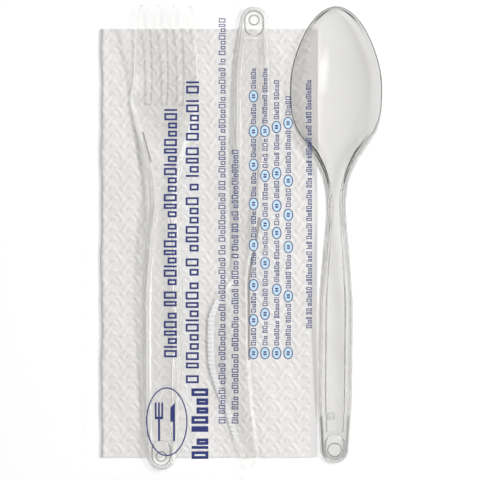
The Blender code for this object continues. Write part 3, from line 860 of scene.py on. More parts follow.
@dataclass
class Cutlery:
    """What the three pieces share: a flanged handle with a channel, and a pad with a sunk pip.

    The second finish is a painted shade for the slopes that look dark, and each mesh has it in
    BEND_SLOT.
    """

    finish: bpy.types.Material
    painted_bend_shade: bpy.types.Material
    row_step: float = 1.3
    channel_depth: float = 0.7
    channel_rim: float = 0.9
    channel_floor: float = 0.74
    channel_fade: float = 9.0
    pad_radius: float = 3.7
    pad_length: float = 9.9
    pad_rise: float = 0.4
    pad_from_end: float = 5.5
    pad_to_channel: float = 1.2
    pad_skirt: float = 0.1
    bend: float = 0.5
    pip_depth: float = 0.45
    pip_radius: float = 2.1
    pip_skirt: float = 0.05
    round_sides: int = 72
    wall_columns: int = 6
    floor_columns: tuple[float, ...] = (0.6, 0.4, 0.2)
    rim_column: float = 0.97
    slope_normals: Point2 = (0.1, 0.95)

    def channel(self, blank: Blank, start: float) -> Hollow:
        """Describe the handle's channel, which ends beside the pad.

        Args:
            blank: The piece's blank.
            start: Where the channel begins.

        Returns:
            The channel's depth at places and a fraction.
        """
        stop = self.channel_stop(blank) - self.pad_to_channel

        def depth(places: np.ndarray, fraction: float) -> np.ndarray:
            """Read the channel.

            Args:
                places: Places along the blank.
                fraction: Where across, from -1 to 1.

            Returns:
                The depth at each place.
            """
            wall = ease(abs(fraction), self.channel_floor, self.channel_rim)
            along = ease(places, start, start + self.channel_fade)
            end = ease(places, stop, stop + self.pad_to_channel)
            return self.channel_depth * (1 - wall) * along * (1 - end)

        return depth

    def channel_stop(self, blank: Blank) -> float:
        """Where the channel's end wall has risen to the pad's level."""
        return blank.length - self.pad_from_end - self.pad_length + self.pad_radius

    def channel_rows(self, blank: Blank) -> list[float]:
        """The rows that draw the channel's end wall."""
        stop = self.channel_stop(blank)
        return list(np.linspace(stop, stop - self.pad_to_channel, self.wall_columns))

    def channel_columns(self) -> list[float]:
        """Lay out the inner columns that draw the channel's side walls and floor.

        Returns:
            The columns' fractions, from left to right.
        """
        wall = np.linspace(self.channel_rim, self.channel_floor, self.wall_columns)
        half = [self.rim_column, *wall, *self.floor_columns]
        return [-f for f in half] + [0.0] + half[::-1]

    def cut(self, item: bpy.types.Object, mesh: bpy.types.Mesh, operation: str) -> None:
        """Cut a mesh out of an object, or join it on.

        Args:
            item: The object.
            mesh: The tool's mesh, in the object's own frame.
            operation: "UNION" or "DIFFERENCE".
        """
        tool = added(mesh.name, mesh)
        modifier = item.modifiers.new(mesh.name, "BOOLEAN")
        modifier.object, modifier.operation, modifier.solver = tool, operation, "EXACT"
        graph = bpy.context.evaluated_depsgraph_get()
        settled = bpy.data.meshes.new_from_object(item.evaluated_get(graph))
        item.modifiers.clear()
        item.data = settled
        bpy.data.objects.remove(tool)

    def pad(self, item: bpy.types.Object, blank: Blank, pip_radius: float) -> None:
        """Raise the long round pad at the handle's end, and sink the pip in it.

        Args:
            item: The piece.
            blank: Its blank.
            pip_radius: The pip's radius.
        """
        half = self.pad_length / 2 - self.pad_radius
        middle = blank.length - self.pad_from_end - half
        span = 1.0
        low, level, high = smooth(blank.top, np.array([middle + span, middle, middle - span]))
        tilt = Matrix.Rotation(math.atan2(high - low, 2 * span), 4, "X")
        on_top = Vector((blank.end_shift, blank.length - middle, level)) * MM
        place = Matrix.Translation(on_top) @ tilt
        steps = self.round_sides // 2
        wall = float(smooth(blank.wall, np.array([middle]))[0])
        levels = ((-wall / 2, self.pad_skirt), (0.0, self.pad_skirt), (self.pad_rise / 2, 0.0),
                  (self.pad_rise, -self.bend))
        raised = loft(item.name + "_pad", [
            (level, long_round(half, self.pad_radius + more, steps)) for level, more in levels])
        depths = ((self.pip_depth, -self.bend), (0.0, self.pip_skirt), (-1.0, self.pip_skirt))
        rounds = [arc((0.0, -half), pip_radius + more, 0.0, 360.0, self.round_sides)[:-1]
                  for _, more in depths]
        sunk = loft(item.name + "_pip", [
            (self.pad_rise - depth, outline) for (depth, _), outline in zip(depths, rounds)])
        for mesh, operation in ((raised, "UNION"), (sunk, "DIFFERENCE")):
            mesh.transform(place)
            self.cut(item, mesh, operation)
        # Painted shade: the slopes round the pad and the pip take the darker finish.
        item.data.materials.append(self.painted_bend_shade)
        from_pad, (least, most) = place.inverted(), self.slope_normals
        for face in item.data.polygons:
            x, y, z = from_pad @ face.center / MM
            from_pip = math.hypot(x, y + half)
            from_middle = math.hypot(x, max(abs(y) - half, 0.0))
            on_pip = abs(from_pip - pip_radius + self.bend / 2) < self.bend
            on_pad = abs(from_middle - self.pad_radius + self.bend / 2) < self.bend
            if (on_pip or on_pad) and abs(z) < self.bend and least < face.normal.z < most:
                face.material_index = BEND_SLOT

    def darken(self, item: bpy.types.Object, blank: Blank, side: Side, shares: Point2,
               along: Point2) -> None:
        """Give a strip of the flange the finish of a bend that sends the light away.

        Args:
            item: The piece, with its handle's end at the origin.
            blank: Its blank.
            side: The flange's side.
            shares: The strip's two edges, as shares of the flange's width.
            along: Where the strip begins and ends.
        """
        # Painted shade: the strip's faces take the darker finish.
        for face in item.data.polygons:
            x, y, _ = face.center / MM
            place = np.array([blank.length - y])
            width = float(smooth(blank.flange_width[side], place)[0])
            inward = side.value * float(blank.edge(side, place)[0] - x) / width
            on_strip = shares[0] < inward < shares[1] and along[0] < place[0] < along[1]
            if on_strip and face.normal.z > self.slope_normals[0]:
                face.material_index = BEND_SLOT

    def place(self, item: bpy.types.Object, node: str, end: Point2,
              turn: float) -> bpy.types.Object:
        """Lay a piece where its solid lies, and let it stand for that solid.

        Args:
            item: The piece, with its handle's end at the origin.
            node: The name of its CAD node.
            end: Where the handle's end lies.
            turn: The turn that points its working end, in degrees.

        Returns:
            The piece.
        """
        mesh = item.data
        mesh.shade_smooth()
        mesh.set_sharp_from_angle(angle=SHARP_ANGLE)
        lowest = min(vert.co.z for vert in mesh.vertices)
        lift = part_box(node)[0].z - lowest
        lay = Matrix.Translation((end[0] * MM, end[1] * MM, lift))
        mesh.transform(lay @ Matrix.Rotation(math.radians(turn), 4, "Z"))
        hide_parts(node)
        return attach(item, BODY)


@dataclass
class Fork(Cutlery):
    """The fork: a dished head with four tines."""

    length: float = 178.0
    end_radius: float = 5.6
    half_width: Stations = ((0.0, 9.3), (9.0, 11.4), (20.6, 12.0), (30.0, 12.6), (35.5, 13.5),
                            (43.7, 11.9), (55.2, 8.9), (66.7, 6.1), (76.3, 5.4), (89.8, 6.6),
                            (112.9, 7.6), (136.0, 7.4), (166.7, 6.3))
    top: Stations = ((0.0, 7.6), (10.0, 4.8), (20.0, 2.9), (28.0, 2.15), (36.0, 2.5), (50.0, 5.9),
                     (62.0, 9.8), (75.0, 13.0), (90.0, 14.6), (108.0, 13.6), (140.0, 8.6),
                     (178.0, 3.5))
    flange_width: Stations = ((0.0, 0.4), (32.0, 0.5), (40.0, 2.2), (60.0, 2.8), (85.0, 2.4),
                              (115.0, 1.8), (178.0, 1.6))
    flange_drop: Stations = ((0.0, 0.25), (32.0, 0.3), (42.0, 1.6), (54.0, 3.0), (72.0, 4.2),
                             (105.0, 4.0), (140.0, 3.2), (178.0, 2.8))
    dish: Stations = ((0.0, 0.0), (12.0, 0.3), (34.0, 0.9), (50.0, 0.8), (64.0, 0.0))
    wall: Stations = ((0.0, 1.5), (10.0, 2.0), (36.0, 2.0), (48.0, 1.4), (178.0, 1.2))
    channel_start: float = 75.7
    tine_pitch: float = 6.15
    tine_gap: float = 3.2
    tine_gap_at_root: float = 2.3
    tine_root: float = 38.0
    tine_taper: float = 7.9
    tine_tip_land: float = 0.15
    taper_steps: int = 22
    comb_clearance: float = 3.0
    comb_levels: Point2 = (-5.0, 20.0)
    dark_neck: Point2 = (48.0, 60.0)
    dark_neck_shares: Point2 = (0.7, 1.0)
    end: Point2 = (-30.4, -89.3)
    turn: float = -0.65

    def comb(self) -> list[Point2]:
        """Draw what lies between the tines and before their tips.

        Returns:
            The outline's corners.
        """
        reach, tip = self.length + self.comb_clearance, self.length - self.tine_tip_land
        side = self.half_width[1][1] + self.comb_clearance
        span, steps = self.tine_taper - self.tine_tip_land, self.taper_steps
        taper = [self.tine_tip_land + span * (i / steps) ** 2 for i in range(steps + 1)]
        tine_half = (self.tine_pitch - self.tine_gap) / 2
        wall = [tine_half * math.sqrt(1 - (1 - s / self.tine_taper) ** 2) for s in taper]
        root = self.tine_gap_at_root / 2
        points = [(-side, reach), (-side, tip)]
        for gap in (-1, 0, 1):
            middle = gap * self.tine_pitch
            left = [(middle - self.tine_pitch / 2 + w, self.length - s)
                    for s, w in zip(taper, wall)]
            bottom = arc((middle, self.length - self.tine_root + root), root, 180.0, 180.0,
                         self.round_sides // 3)
            points += left + bottom + [(2 * middle - x, y) for x, y in reversed(left)]
        return points + [(side, tip), (side, reach)]

    def build(self) -> bpy.types.Object:
        """Mould the fork, cut its tines and lay it down.

        Returns:
            The fork.
        """
        left = [(s, -w) for s, w in self.half_width]
        blank = Blank(self.length, self.end_radius, {Side.LEFT: left, Side.RIGHT: self.half_width},
                      self.top, self.wall, dict.fromkeys(Side, self.flange_width),
                      dict.fromkeys(Side, self.flange_drop))
        run = self.channel(blank, self.channel_start)

        def hollow(places: np.ndarray, fraction: float) -> np.ndarray:
            """The head's dish and the handle's channel: how deep they are."""
            return smooth(self.dish, places) * (1 - fraction ** 2) + run(places, fraction)

        mesh = blank.shell("clear_fork", self.row_step, self.channel_rows(blank),
                           self.channel_columns(), hollow)
        fork = added("clear_fork", mesh, self.finish)
        self.cut(fork, prism("tine_comb", self.comb(), *self.comb_levels), "DIFFERENCE")
        self.pad(fork, blank, self.pip_radius)
        # Painted shade along the neck's left flange.
        self.darken(fork, blank, Side.LEFT, self.dark_neck_shares, self.dark_neck)
        return self.place(fork, "fork", self.end, self.turn)


@dataclass
class Spoon(Cutlery):
    """The spoon: an egg-shaped bowl on a flanged handle."""

    length: float = 175.4
    end_radius: float = 5.45
    half_width: Stations = ((0.0, 0.0), (8.1, 10.85), (14.2, 13.9), (20.0, 15.95), (25.4, 17.2),
                            (31.5, 17.7), (38.5, 17.5), (46.5, 16.0), (53.8, 11.8), (59.2, 8.3),
                            (67.7, 4.8), (76.2, 3.8), (96.5, 5.3), (117.7, 6.6), (147.3, 6.6),
                            (164.0, 5.8))
    top: Stations = ((0.0, 7.2), (30.0, 8.3), (48.0, 9.4), (64.0, 12.2), (78.0, 14.6), (92.0, 15.2),
                     (112.0, 13.4), (140.0, 8.3), (175.4, 2.9))
    flange_width: Stations = ((0.0, 0.5), (40.0, 0.6), (50.0, 1.3), (58.0, 1.9), (70.0, 1.9),
                              (100.0, 2.1), (175.4, 2.0))
    flange_drop: Stations = ((0.0, 0.25), (40.0, 0.35), (50.0, 1.4), (60.0, 3.2), (72.0, 3.8),
                             (110.0, 3.8), (150.0, 3.2), (175.4, 3.0))
    bowl_depth: Stations = ((0.5, 0.0), (3.0, 2.1), (8.0, 4.2), (15.0, 5.9), (24.0, 6.9),
                            (32.0, 7.0), (42.0, 6.2), (50.0, 4.7), (58.0, 2.7), (66.0, 0.9),
                            (73.0, 0.0))
    bowl_fullness: float = 2.4
    bowl_columns: int = 15
    bowl_floor: float = 0.66
    wall: Stations = ((0.0, 1.1), (175.4, 1.2))
    channel_start: float = 66.0
    wide_pip_radius: float = 2.9
    mark_from_end: float = 18.7
    mark_side: float = 2.6
    mark_aside: float = -1.5
    mark_rings: Stations = ((-0.3, 0.15), (0.05, 0.15), (0.3, -0.15), (0.3, -0.5), (0.12, -0.7))
    mark_reach: float = 0.2
    mark_normals: Point2 = (0.1, 0.9)
    dark_neck: Point2 = (46.0, 68.0)
    dark_neck_shares: Point2 = (0.75, 1.25)
    dark_end: Point2 = (157.0, 173.0)
    dark_end_shares: Point2 = (0.3, 0.75)
    end: Point2 = (36.1, -87.0)
    turn: float = -0.15

    def build(self) -> bpy.types.Object:
        """Mould the spoon and lay it down.

        Returns:
            The spoon.
        """
        left = [(s, -w) for s, w in self.half_width]
        blank = Blank(self.length, self.end_radius, {Side.LEFT: left, Side.RIGHT: self.half_width},
                      self.top, self.wall, dict.fromkeys(Side, self.flange_width),
                      dict.fromkeys(Side, self.flange_drop))
        run = self.channel(blank, self.channel_start)

        def hollow(places: np.ndarray, fraction: float) -> np.ndarray:
            """The bowl and the handle's channel: how deep they are."""
            bowl = smooth(self.bowl_depth, places) * (1 - abs(fraction) ** self.bowl_fullness)
            return bowl + run(places, fraction)

        inner = [f for f in self.channel_columns() if abs(f) >= self.channel_floor]
        inner = sorted([*inner, *np.linspace(-self.bowl_floor, self.bowl_floor, self.bowl_columns)])
        mesh = blank.shell("clear_spoon", self.row_step, self.channel_rows(blank), inner, hollow)
        spoon = added("clear_spoon", mesh, self.finish)
        self.pad(spoon, blank, self.wide_pip_radius)
        self.cavity_mark(spoon, blank)
        # Painted shade on both flanges at the neck and at the end.
        for side in Side:
            self.darken(spoon, blank, side, self.dark_neck_shares, self.dark_neck)
            self.darken(spoon, blank, side, self.dark_end_shares, self.dark_end)
        return self.place(spoon, "spoon", self.end, self.turn)

    def cavity_mark(self, spoon: bpy.types.Object, blank: Blank) -> None:
        """Raise the small square that the tool leaves in the channel.

        Args:
            spoon: The spoon.
            blank: Its blank.
        """
        along = self.length - self.mark_from_end
        floor = float(smooth(blank.top, np.array([along]))[0]) - self.channel_depth
        rings = []
        for level, more in self.mark_rings:
            side = self.mark_side / 2 + more
            outline = [(side, side), (-side, side), (-side, -side), (side, -side)]
            rings.append((floor + level, outline))
        mark = loft("spoon_mark", rings)
        mark.transform(Matrix.Translation((self.mark_aside * MM, self.mark_from_end * MM, 0.0)))
        self.cut(spoon, mark, "UNION")
        # Painted shade: the mark's slopes take the darker finish.
        least, most = self.mark_normals
        for face in spoon.data.polygons:
            x, y, z = face.center / MM
            away = max(abs(x - self.mark_aside), abs(y - self.mark_from_end))
            on_mark = away < self.mark_side / 2 + self.mark_reach and z > floor
            if on_mark and least < face.normal.z < most:
                face.material_index = BEND_SLOT


@dataclass
class Knife(Cutlery):
    """The knife: a bellied blade with a saw edge and a ribbed band behind it."""

    rib_finish: bpy.types.Material | None = None
    length: float = 177.6
    end_radius: float = 5.46
    end_shift: float = -0.75
    cutting_side: Stations = ((0.0, 0.2), (3.1, 3.3), (8.3, 6.1), (16.7, 8.9), (21.7, 10.4),
                              (32.1, 14.6), (41.7, 16.9), (49.4, 17.2), (57.0, 17.0), (61.7, 15.8),
                              (66.3, 13.0), (70.5, 9.6), (74.4, 7.4), (87.9, 7.5), (122.5, 7.7),
                              (149.4, 7.3), (164.8, 5.8))
    spine_side: Stations = ((0.0, 0.2), (3.1, -2.9), (8.3, -2.4), (26.3, -0.6), (49.4, 0.75),
                            (71.3, 0.75), (76.0, 0.2), (87.9, -2.1), (111.0, -5.0), (137.9, -6.8),
                            (149.4, -7.1), (164.8, -6.4))
    top: Stations = ((0.0, 2.3), (20.0, 2.9), (60.0, 4.1), (85.0, 6.4), (120.0, 7.0), (177.6, 3.7))
    bevel_width: Stations = ((0.0, 1.4), (12.0, 2.6), (66.0, 2.7), (76.0, 2.4), (110.0, 2.3),
                             (177.6, 1.8))
    bevel_drop: Stations = ((0.0, 0.5), (12.0, 0.95), (66.0, 0.95), (76.0, 2.6), (90.0, 4.0),
                            (120.0, 3.9), (177.6, 3.0))
    spine_width: Stations = ((0.0, 1.2), (12.0, 1.6), (60.0, 1.9), (80.0, 2.3), (110.0, 2.3),
                             (177.6, 1.8))
    spine_drop: Stations = ((0.0, 0.4), (14.0, 1.0), (60.0, 1.9), (80.0, 3.2), (95.0, 4.0),
                            (120.0, 3.9), (177.6, 3.0))
    ground_flat: Stations = ((0.0, 1.0), (64.0, 1.0), (76.0, 0.0), (177.6, 0.0))
    wall: Stations = ((0.0, 1.3), (30.0, 1.5), (66.0, 1.5), (80.0, 1.3), (177.6, 1.2))
    channel_start: float = 83.4
    saw_start: float = 12.0
    saw_end: float = 64.0
    saw_pitch: float = 1.7
    saw_depth: float = 0.55
    saw_overshoot: float = 0.05
    saw_steps: int = 1200
    strip_clearance: float = 4.0
    strip_levels: Point2 = (-5.0, 20.0)
    band_share: float = 0.9
    band_beyond: float = 1.0
    band_normal: float = 0.2
    dark_spine: Point2 = (42.0, 96.0)
    dark_spine_shares: Point2 = (-0.1, 0.5)
    end: Point2 = (4.42, 88.75)
    turn: float = 180.0

    def saw(self, blank: Blank) -> list[Point2]:
        """Draw the saw-tooth strip that is cut from the edge.

        Args:
            blank: The knife's blank.

        Returns:
            The outline's corners.
        """
        along = np.linspace(self.saw_start, self.saw_end, self.saw_steps)
        across = blank.edge(Side.RIGHT, along)
        travel = np.concatenate(([0.0], np.cumsum(np.hypot(np.diff(along), np.diff(across)))))
        count = round(travel[-1] / self.saw_pitch)
        marks = np.linspace(0.0, travel[-1], 2 * count + 1)
        spot = np.interp(marks, travel, along)
        edge = blank.edge(Side.RIGHT, spot)
        rise = np.gradient(edge, spot)
        size = np.hypot(1.0, rise)
        depth = np.where(np.arange(len(marks)) % 2 == 1, self.saw_depth, -self.saw_overshoot)
        teeth = [(x - d / n, blank.length - s - d * r / n)
                 for x, s, d, r, n in zip(edge, spot, depth, rise, size)]
        far = float(max(edge)) + self.strip_clearance
        return teeth + [(far, blank.length - self.saw_end), (far, blank.length - self.saw_start)]

    def build(self) -> bpy.types.Object:
        """Mould the knife, cut its teeth and lay it down.

        Returns:
            The knife.
        """
        blank = Blank(self.length, self.end_radius,
                      {Side.LEFT: self.spine_side, Side.RIGHT: self.cutting_side},
                      self.top, self.wall,
                      {Side.LEFT: self.spine_width, Side.RIGHT: self.bevel_width},
                      {Side.LEFT: self.spine_drop, Side.RIGHT: self.bevel_drop},
                      self.ground_flat, self.end_shift)
        mesh = blank.shell("clear_knife", self.row_step, self.channel_rows(blank),
                           self.channel_columns(), self.channel(blank, self.channel_start))
        knife = added("clear_knife", mesh, self.finish)
        self.cut(knife, prism("saw_strip", self.saw(blank), *self.strip_levels), "DIFFERENCE")
        self.pad(knife, blank, self.pip_radius)
        self.rib(knife, blank)
        # Painted shade along the spine's flange.
        self.darken(knife, blank, Side.LEFT, self.dark_spine_shares, self.dark_spine)
        return self.place(knife, "knife", self.end, self.turn)

    def rib(self, knife: bpy.types.Object, blank: Blank) -> None:
        """Give the bevel behind the saw edge its ribbed finish.

        Args:
            knife: The knife, with its handle's end at the origin.
            blank: Its blank.
        """
        ribbed = len(knife.data.materials)
        knife.data.materials.append(self.rib_finish)
        for face in knife.data.polygons:
            x, y, _ = face.center / MM
            along = np.array([self.length - y])
            band = self.band_share * smooth(self.bevel_width, along)[0]
            on_band = x > float(blank.edge(Side.RIGHT, along)[0] - band)
            on_band &= self.saw_start < along[0] < self.saw_end + self.band_beyond
            if on_band and face.normal.z > self.band_normal:
                face.material_index = ribbed


@dataclass
class Napkin:
    """The napkin: one square sheet with all its folds, its embossing and its soft waves.

    The motif's strokes are given by their middle and length. The valley is where the top dips,
    with a height and a width on each side of it. A wave has its height and its length across
    and along, and a waver of the fold its height, its scale and its start.
    """

    finish: bpy.types.Material
    square: float = 330.0
    left: float = -53.9
    folded_width: float = 83.5
    bottom_end: float = -84.7
    base: float = 1.14
    sheet: float = 0.2
    sheet_gap: float = 0.16
    layer_gap: float = 0.18
    top_edge_setback: float = 2.9
    spacing: float = 0.46
    outer_fold_steps: int = 10
    fold_steps: int = 6
    under_steps: int = 20
    hidden_steps: int = 8
    emboss_pitch: Point2 = (6.73, 8.08)
    emboss_height: float = 0.27
    emboss_width: float = 0.38
    emboss_bow: float = 0.12
    emboss_lean: float = -48.0
    emboss_fade: Point2 = (0.35, 0.62)
    emboss_strokes: tuple = (((0.5, 0.4), 2.6), ((-1.0, -0.7), 1.9), ((1.7, 2.6), 1.6),
                             ((-1.2, 3.2), 1.3))
    valley: Stations = ((-82.0, -38.3), (-20.0, -37.9), (-1.0, -37.1), (12.5, -36.3),
                        (37.5, -39.8), (45.2, -41.3), (60.6, -43.3), (79.8, -47.5))
    valley_left: Point2 = (-0.06, 4.0)
    valley_right: Point2 = (0.26, 7.0)
    valley_half: float = 1.1
    soft_waves: Sequence[Point3] = ((0.09, 43.0, 71.0), (0.035, 19.0, -37.0), (0.035, 11.0, 23.0))
    relief_limits: Point2 = (-0.14, 0.4)
    flat_at_fold: float = 3.0
    fold_waver: Sequence[Point3] = ((0.18, 7.0, 0.0), (0.12, 3.1, 1.0))
    waver_fade: float = 2.0

    def section(self) -> list[Point2]:
        """Follow the folds across, from the top free edge round to the free edge inside.

        Returns:
            The path's points as (x, z).
        """
        layer = 2 * self.sheet + self.sheet_gap
        pitch = layer + self.layer_gap
        right = self.left + self.folded_width
        levels = [self.base + layer / 2 + pitch * i for i in range(4)]
        left = self.left + 1.5 * pitch + layer / 2
        turn = right - pitch / 2 - layer / 2
        top_edge = right - self.top_edge_setback

        def run(start: float, stop: float, level: float, count: int) -> list[Point2]:
            """Points along a level run, without its ends."""
            return [(start + (stop - start) * i / count, level) for i in range(1, count)]

        path = [(top_edge, levels[3])]
        path += run(top_edge, left, levels[3], round((top_edge - left) / self.spacing))
        path += arc((left, (levels[0] + levels[3]) / 2), 1.5 * pitch, 90.0, 180.0,
                    self.outer_fold_steps)
        path += run(left, turn, levels[0], self.under_steps)
        path += arc((turn, (levels[0] + levels[1]) / 2), pitch / 2, -90.0, 180.0, self.fold_steps)
        path += run(turn, left, levels[1], self.hidden_steps)
        path += arc((left, (levels[1] + levels[2]) / 2), pitch / 2, 270.0, -180.0, self.fold_steps)
        inner_edge = left + self.square - sum(math.dist(a, b) for a, b in zip(path, path[1:]))
        path += run(left, inner_edge, levels[2], self.hidden_steps)
        return path + [(inner_edge, levels[2])]

    def rows(self) -> list[Point2]:
        """Follow the doubled sheet along: up one half, round the fold, and back.

        Returns:
            The rows as (y, offset from the path).
        """
        offset = (self.sheet + self.sheet_gap) / 2
        fold = self.bottom_end + offset + self.sheet / 2
        half = (self.square - math.pi * offset) / 2
        fine, coarse = round(half / self.spacing), self.hidden_steps
        outer = [(fold + half * i / fine, offset) for i in range(fine, 0, -1)]
        inner = [(fold + half * i / coarse, -offset) for i in range(1, coarse + 1)]
        return outer + arc((fold, 0.0), offset, 90.0, 180.0, self.fold_steps) + inner

    def stroke(self, x: np.ndarray, y: np.ndarray, middle: Point2, length: float) -> np.ndarray:
        """One raised stroke of the embossing.

        Args:
            x: Places across, from the motif's centre.
            y: Places along, from the motif's centre.
            middle: The stroke's middle.
            length: Its length.

        Returns:
            The stroke's share of the full height at each place.
        """
        turn = math.radians(self.emboss_lean)
        right, up = x - middle[0], y - middle[1]
        along = right * math.cos(turn) + up * math.sin(turn)
        aside = up * math.cos(turn) - right * math.sin(turn) + self.emboss_bow * along ** 2
        ends = ease(np.abs(along) / length, *self.emboss_fade)
        return np.exp(-(aside / self.emboss_width) ** 2) * (1 - ends)

    def embossing(self, x: np.ndarray, y: np.ndarray) -> np.ndarray:
        """The embossed relief.

        Args:
            x: Places across.
            y: Places along.

        Returns:
            The height at each place.
        """
        wide, long = self.emboss_pitch
        relief = np.zeros_like(x)
        for shift, mirror in ((0.0, 1.0), (0.5, -1.0)):
            near_x = mirror * (x - wide * (np.round(x / wide - shift) + shift))
            near_y = y - long * (np.round(y / long - shift) + shift)
            for middle, length in self.emboss_strokes:
                relief += self.stroke(near_x, near_y, middle, length)
        return self.emboss_height * relief

    def waves(self, x: np.ndarray, y: np.ndarray) -> np.ndarray:
        """The soft waves that folding and packing leave in the top of the sheet.

        Args:
            x: Places across.
            y: Places along.

        Returns:
            The height at each place.
        """
        aside = x - np.interp(y, *zip(*self.valley))
        sides = ((self.valley_left, self.valley_half), (self.valley_right, -self.valley_half))
        left, right = (height * np.exp(-((aside + shift) / width) ** 2)
                       for (height, width), shift in sides)
        crease = left + (right - left) * ease(aside, -self.valley_half, self.valley_half)
        return crease + sum(height * np.sin(2 * math.pi * (x / wide + y / long))
                            for height, wide, long in self.soft_waves)

    def build(self) -> bpy.types.Object:
        """Fold, emboss and lay the napkin.

        Returns:
            The napkin.
        """
        across, level = np.array(self.section()).T
        run, rise = np.gradient(across), np.gradient(level)
        size = np.hypot(run, rise)
        along, offset = np.array(self.rows()).T
        x = across[None, :] + offset[:, None] * (rise / size)[None, :]
        y = np.repeat(along[:, None], len(across), axis=1)
        z = level[None, :] - offset[:, None] * (run / size)[None, :]
        on_top = np.arange(len(across)) < np.argmin(across)
        outside = (offset > 0)[:, None] & on_top[None, :]
        from_left = ease(x, self.left, self.left + self.flat_at_fold)
        relief = self.embossing(x, y) + self.waves(x, y) * from_left
        z = z + np.where(outside, np.clip(relief, *self.relief_limits), 0.0)
        waver = sum(height * np.sin(y / scale + start) for height, scale, start in self.fold_waver)
        x = x + waver * (1 - ease(x, self.left, self.left + self.waver_fade))
        mesh = grid_mesh("tissue_napkin", np.stack([x, y, z], axis=2))
        napkin = added("tissue_napkin", mesh, self.finish)
        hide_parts("napkin")
        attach(napkin, BODY)
        return napkin


@dataclass
class FilmWrapper:
    """The wrapper: a tube of film with a lapped seal underneath and a crimped seal at each end."""

    finish: bpy.types.Material
    half_width: float = 60.0
    end_seal: float = 11.0
    end_slope: float = 9.0
    seal_lap: float = 10.0
    side_radius: float = 1.3
    floor: float = 0.8
    hem: float = 0.04
    spacing: float = 1.5
    survey_from: float = 100.0
    relaxing_rounds: int = 10
    over_contents: float = 0.2
    pinched_height: float = 0.3
    lap_slope: float = 0.8
    floor_steps: int = 12
    slope_steps: int = 12
    crimp_pitch: float = 1.5
    crimp_height: float = 0.12
    crimp_steps: int = 6
    heights: np.ndarray = field(default_factory=lambda: np.zeros((0, 0)))
    columns: np.ndarray = field(default_factory=lambda: np.zeros(0))
    places: np.ndarray = field(default_factory=lambda: np.zeros(0))

    def survey(self, solid: bpy.types.Object, contents: Sequence[bpy.types.Object]) -> None:
        """Read the film's height off its solid, relax it, and keep it off the contents.

        Args:
            solid: The film's CAD node.
            contents: The pieces inside.
        """
        side = self.half_width - self.side_radius
        half_length = float(max(abs(v.co.y) for v in solid.data.vertices)) / MM
        reach = half_length - self.end_seal - self.end_slope
        self.columns = np.linspace(-side, side, round(2 * side / self.spacing) + 1)
        self.places = np.linspace(-reach, reach, round(2 * reach / self.spacing) + 1)
        tree = BVHTree.FromPolygons([v.co for v in solid.data.vertices],
                                    [p.vertices for p in solid.data.polygons])
        self.heights = np.array([[self.drop(tree, x, y) for x in self.columns]
                                 for y in self.places])
        for _ in range(self.relaxing_rounds):
            self.heights[1:-1, 1:-1] = (self.heights[1:-1, 1:-1] * 2 + self.heights[:-2, 1:-1]
                                        + self.heights[2:, 1:-1] + self.heights[1:-1, :-2]
                                        + self.heights[1:-1, 2:]) / 6
        for item in contents:
            spots = np.array([v.co for v in item.data.vertices]) / MM
            j = np.clip(np.searchsorted(self.columns, spots[:, 0]) - 1, 0, len(self.columns) - 2)
            i = np.clip(np.searchsorted(self.places, spots[:, 1]) - 1, 0, len(self.places) - 2)
            for down, right in ((0, 0), (0, 1), (1, 0), (1, 1)):
                np.maximum.at(self.heights, (i + down, j + right), spots[:, 2] + self.over_contents)

    def drop(self, tree: BVHTree, x: float, y: float) -> float:
        """The level at which a line straight down meets the film's solid, or else its floor."""
        spot = tree.ray_cast(Vector((x, y, self.survey_from)) * MM, Vector((0.0, 0.0, -1.0)))[0]
        return self.floor if spot is None else spot.z / MM

    def height(self, x: float, y: float) -> float:
        """Read the film's level between the surveyed places.

        Args:
            x: The place across.
            y: The place along.

        Returns:
            The film's level there.
        """
        j = min(max(int(np.searchsorted(self.columns, x)) - 1, 0), len(self.columns) - 2)
        i = min(max(int(np.searchsorted(self.places, y)) - 1, 0), len(self.places) - 2)
        u = (x - self.columns[j]) / (self.columns[j + 1] - self.columns[j])
        v = (y - self.places[i]) / (self.places[i + 1] - self.places[i])
        near, far = ((1 - u) * row[j] + u * row[j + 1] for row in self.heights[i:i + 2])
        return float((1 - v) * near + v * far)

    def section(self, heights: np.ndarray, rise: float, ripple: float) -> list[Point2]:
        """One section of the tube, from the hidden lap's edge round to the outer lap's edge.

        Args:
            heights: The top's levels over the columns.
            rise: 1 for the full height, and 0 where the film is pinched flat.
            ripple: How far the whole section is lifted by the crimp.

        Returns:
            The section's points as (x, z).
        """
        side, floor, low = self.half_width - self.side_radius, self.floor, self.hem
        middle = (floor + low) / 2
        lift = (1 - rise) * self.pinched_height + rise * (heights[0] - floor)
        steps, slope = self.floor_steps, self.lap_slope
        path = [(self.seal_lap, low), (self.seal_lap / 2, low), (0.0, low)]
        path += arc((0.0, middle), middle - low, -90.0, -180.0, 6)[1:]
        path += [(-side * i / steps, floor) for i in range(1, steps)]
        turn = arc((0.0, 0.0), self.side_radius, -90.0, -180.0, 8)
        edge = [(x - side, floor + (z / self.side_radius + 1) / 2 * lift) for x, z in turn]
        path += edge
        path += [(x, floor + lift + rise * (h - heights[0]))
                 for x, h in zip(self.columns, heights)][1:-1]
        path += [(-x, z) for x, z in reversed(edge)]
        path += [(side - (side - slope) * i / steps, floor) for i in range(1, steps + 1)]
        path += [(slope / 2, (floor + middle) / 2), (slope, middle), (self.seal_lap, middle)]
        return [(x, max(z + ripple, low)) for x, z in path]

    def pinch(self, place: float) -> Point2:
        """How high the tube stands beyond its straight part, and the crimp's ripple there.

        Args:
            place: The distance beyond the straight part.

        Returns:
            The rise and the ripple.
        """
        rise = 1 - float(ease(place, 0.0, self.end_slope))
        seal = place - self.end_slope
        ripple = self.crimp_height * (1 - math.cos(2 * math.pi * seal / self.crimp_pitch)) / 2
        return rise, ripple if seal > 0 else 0.0

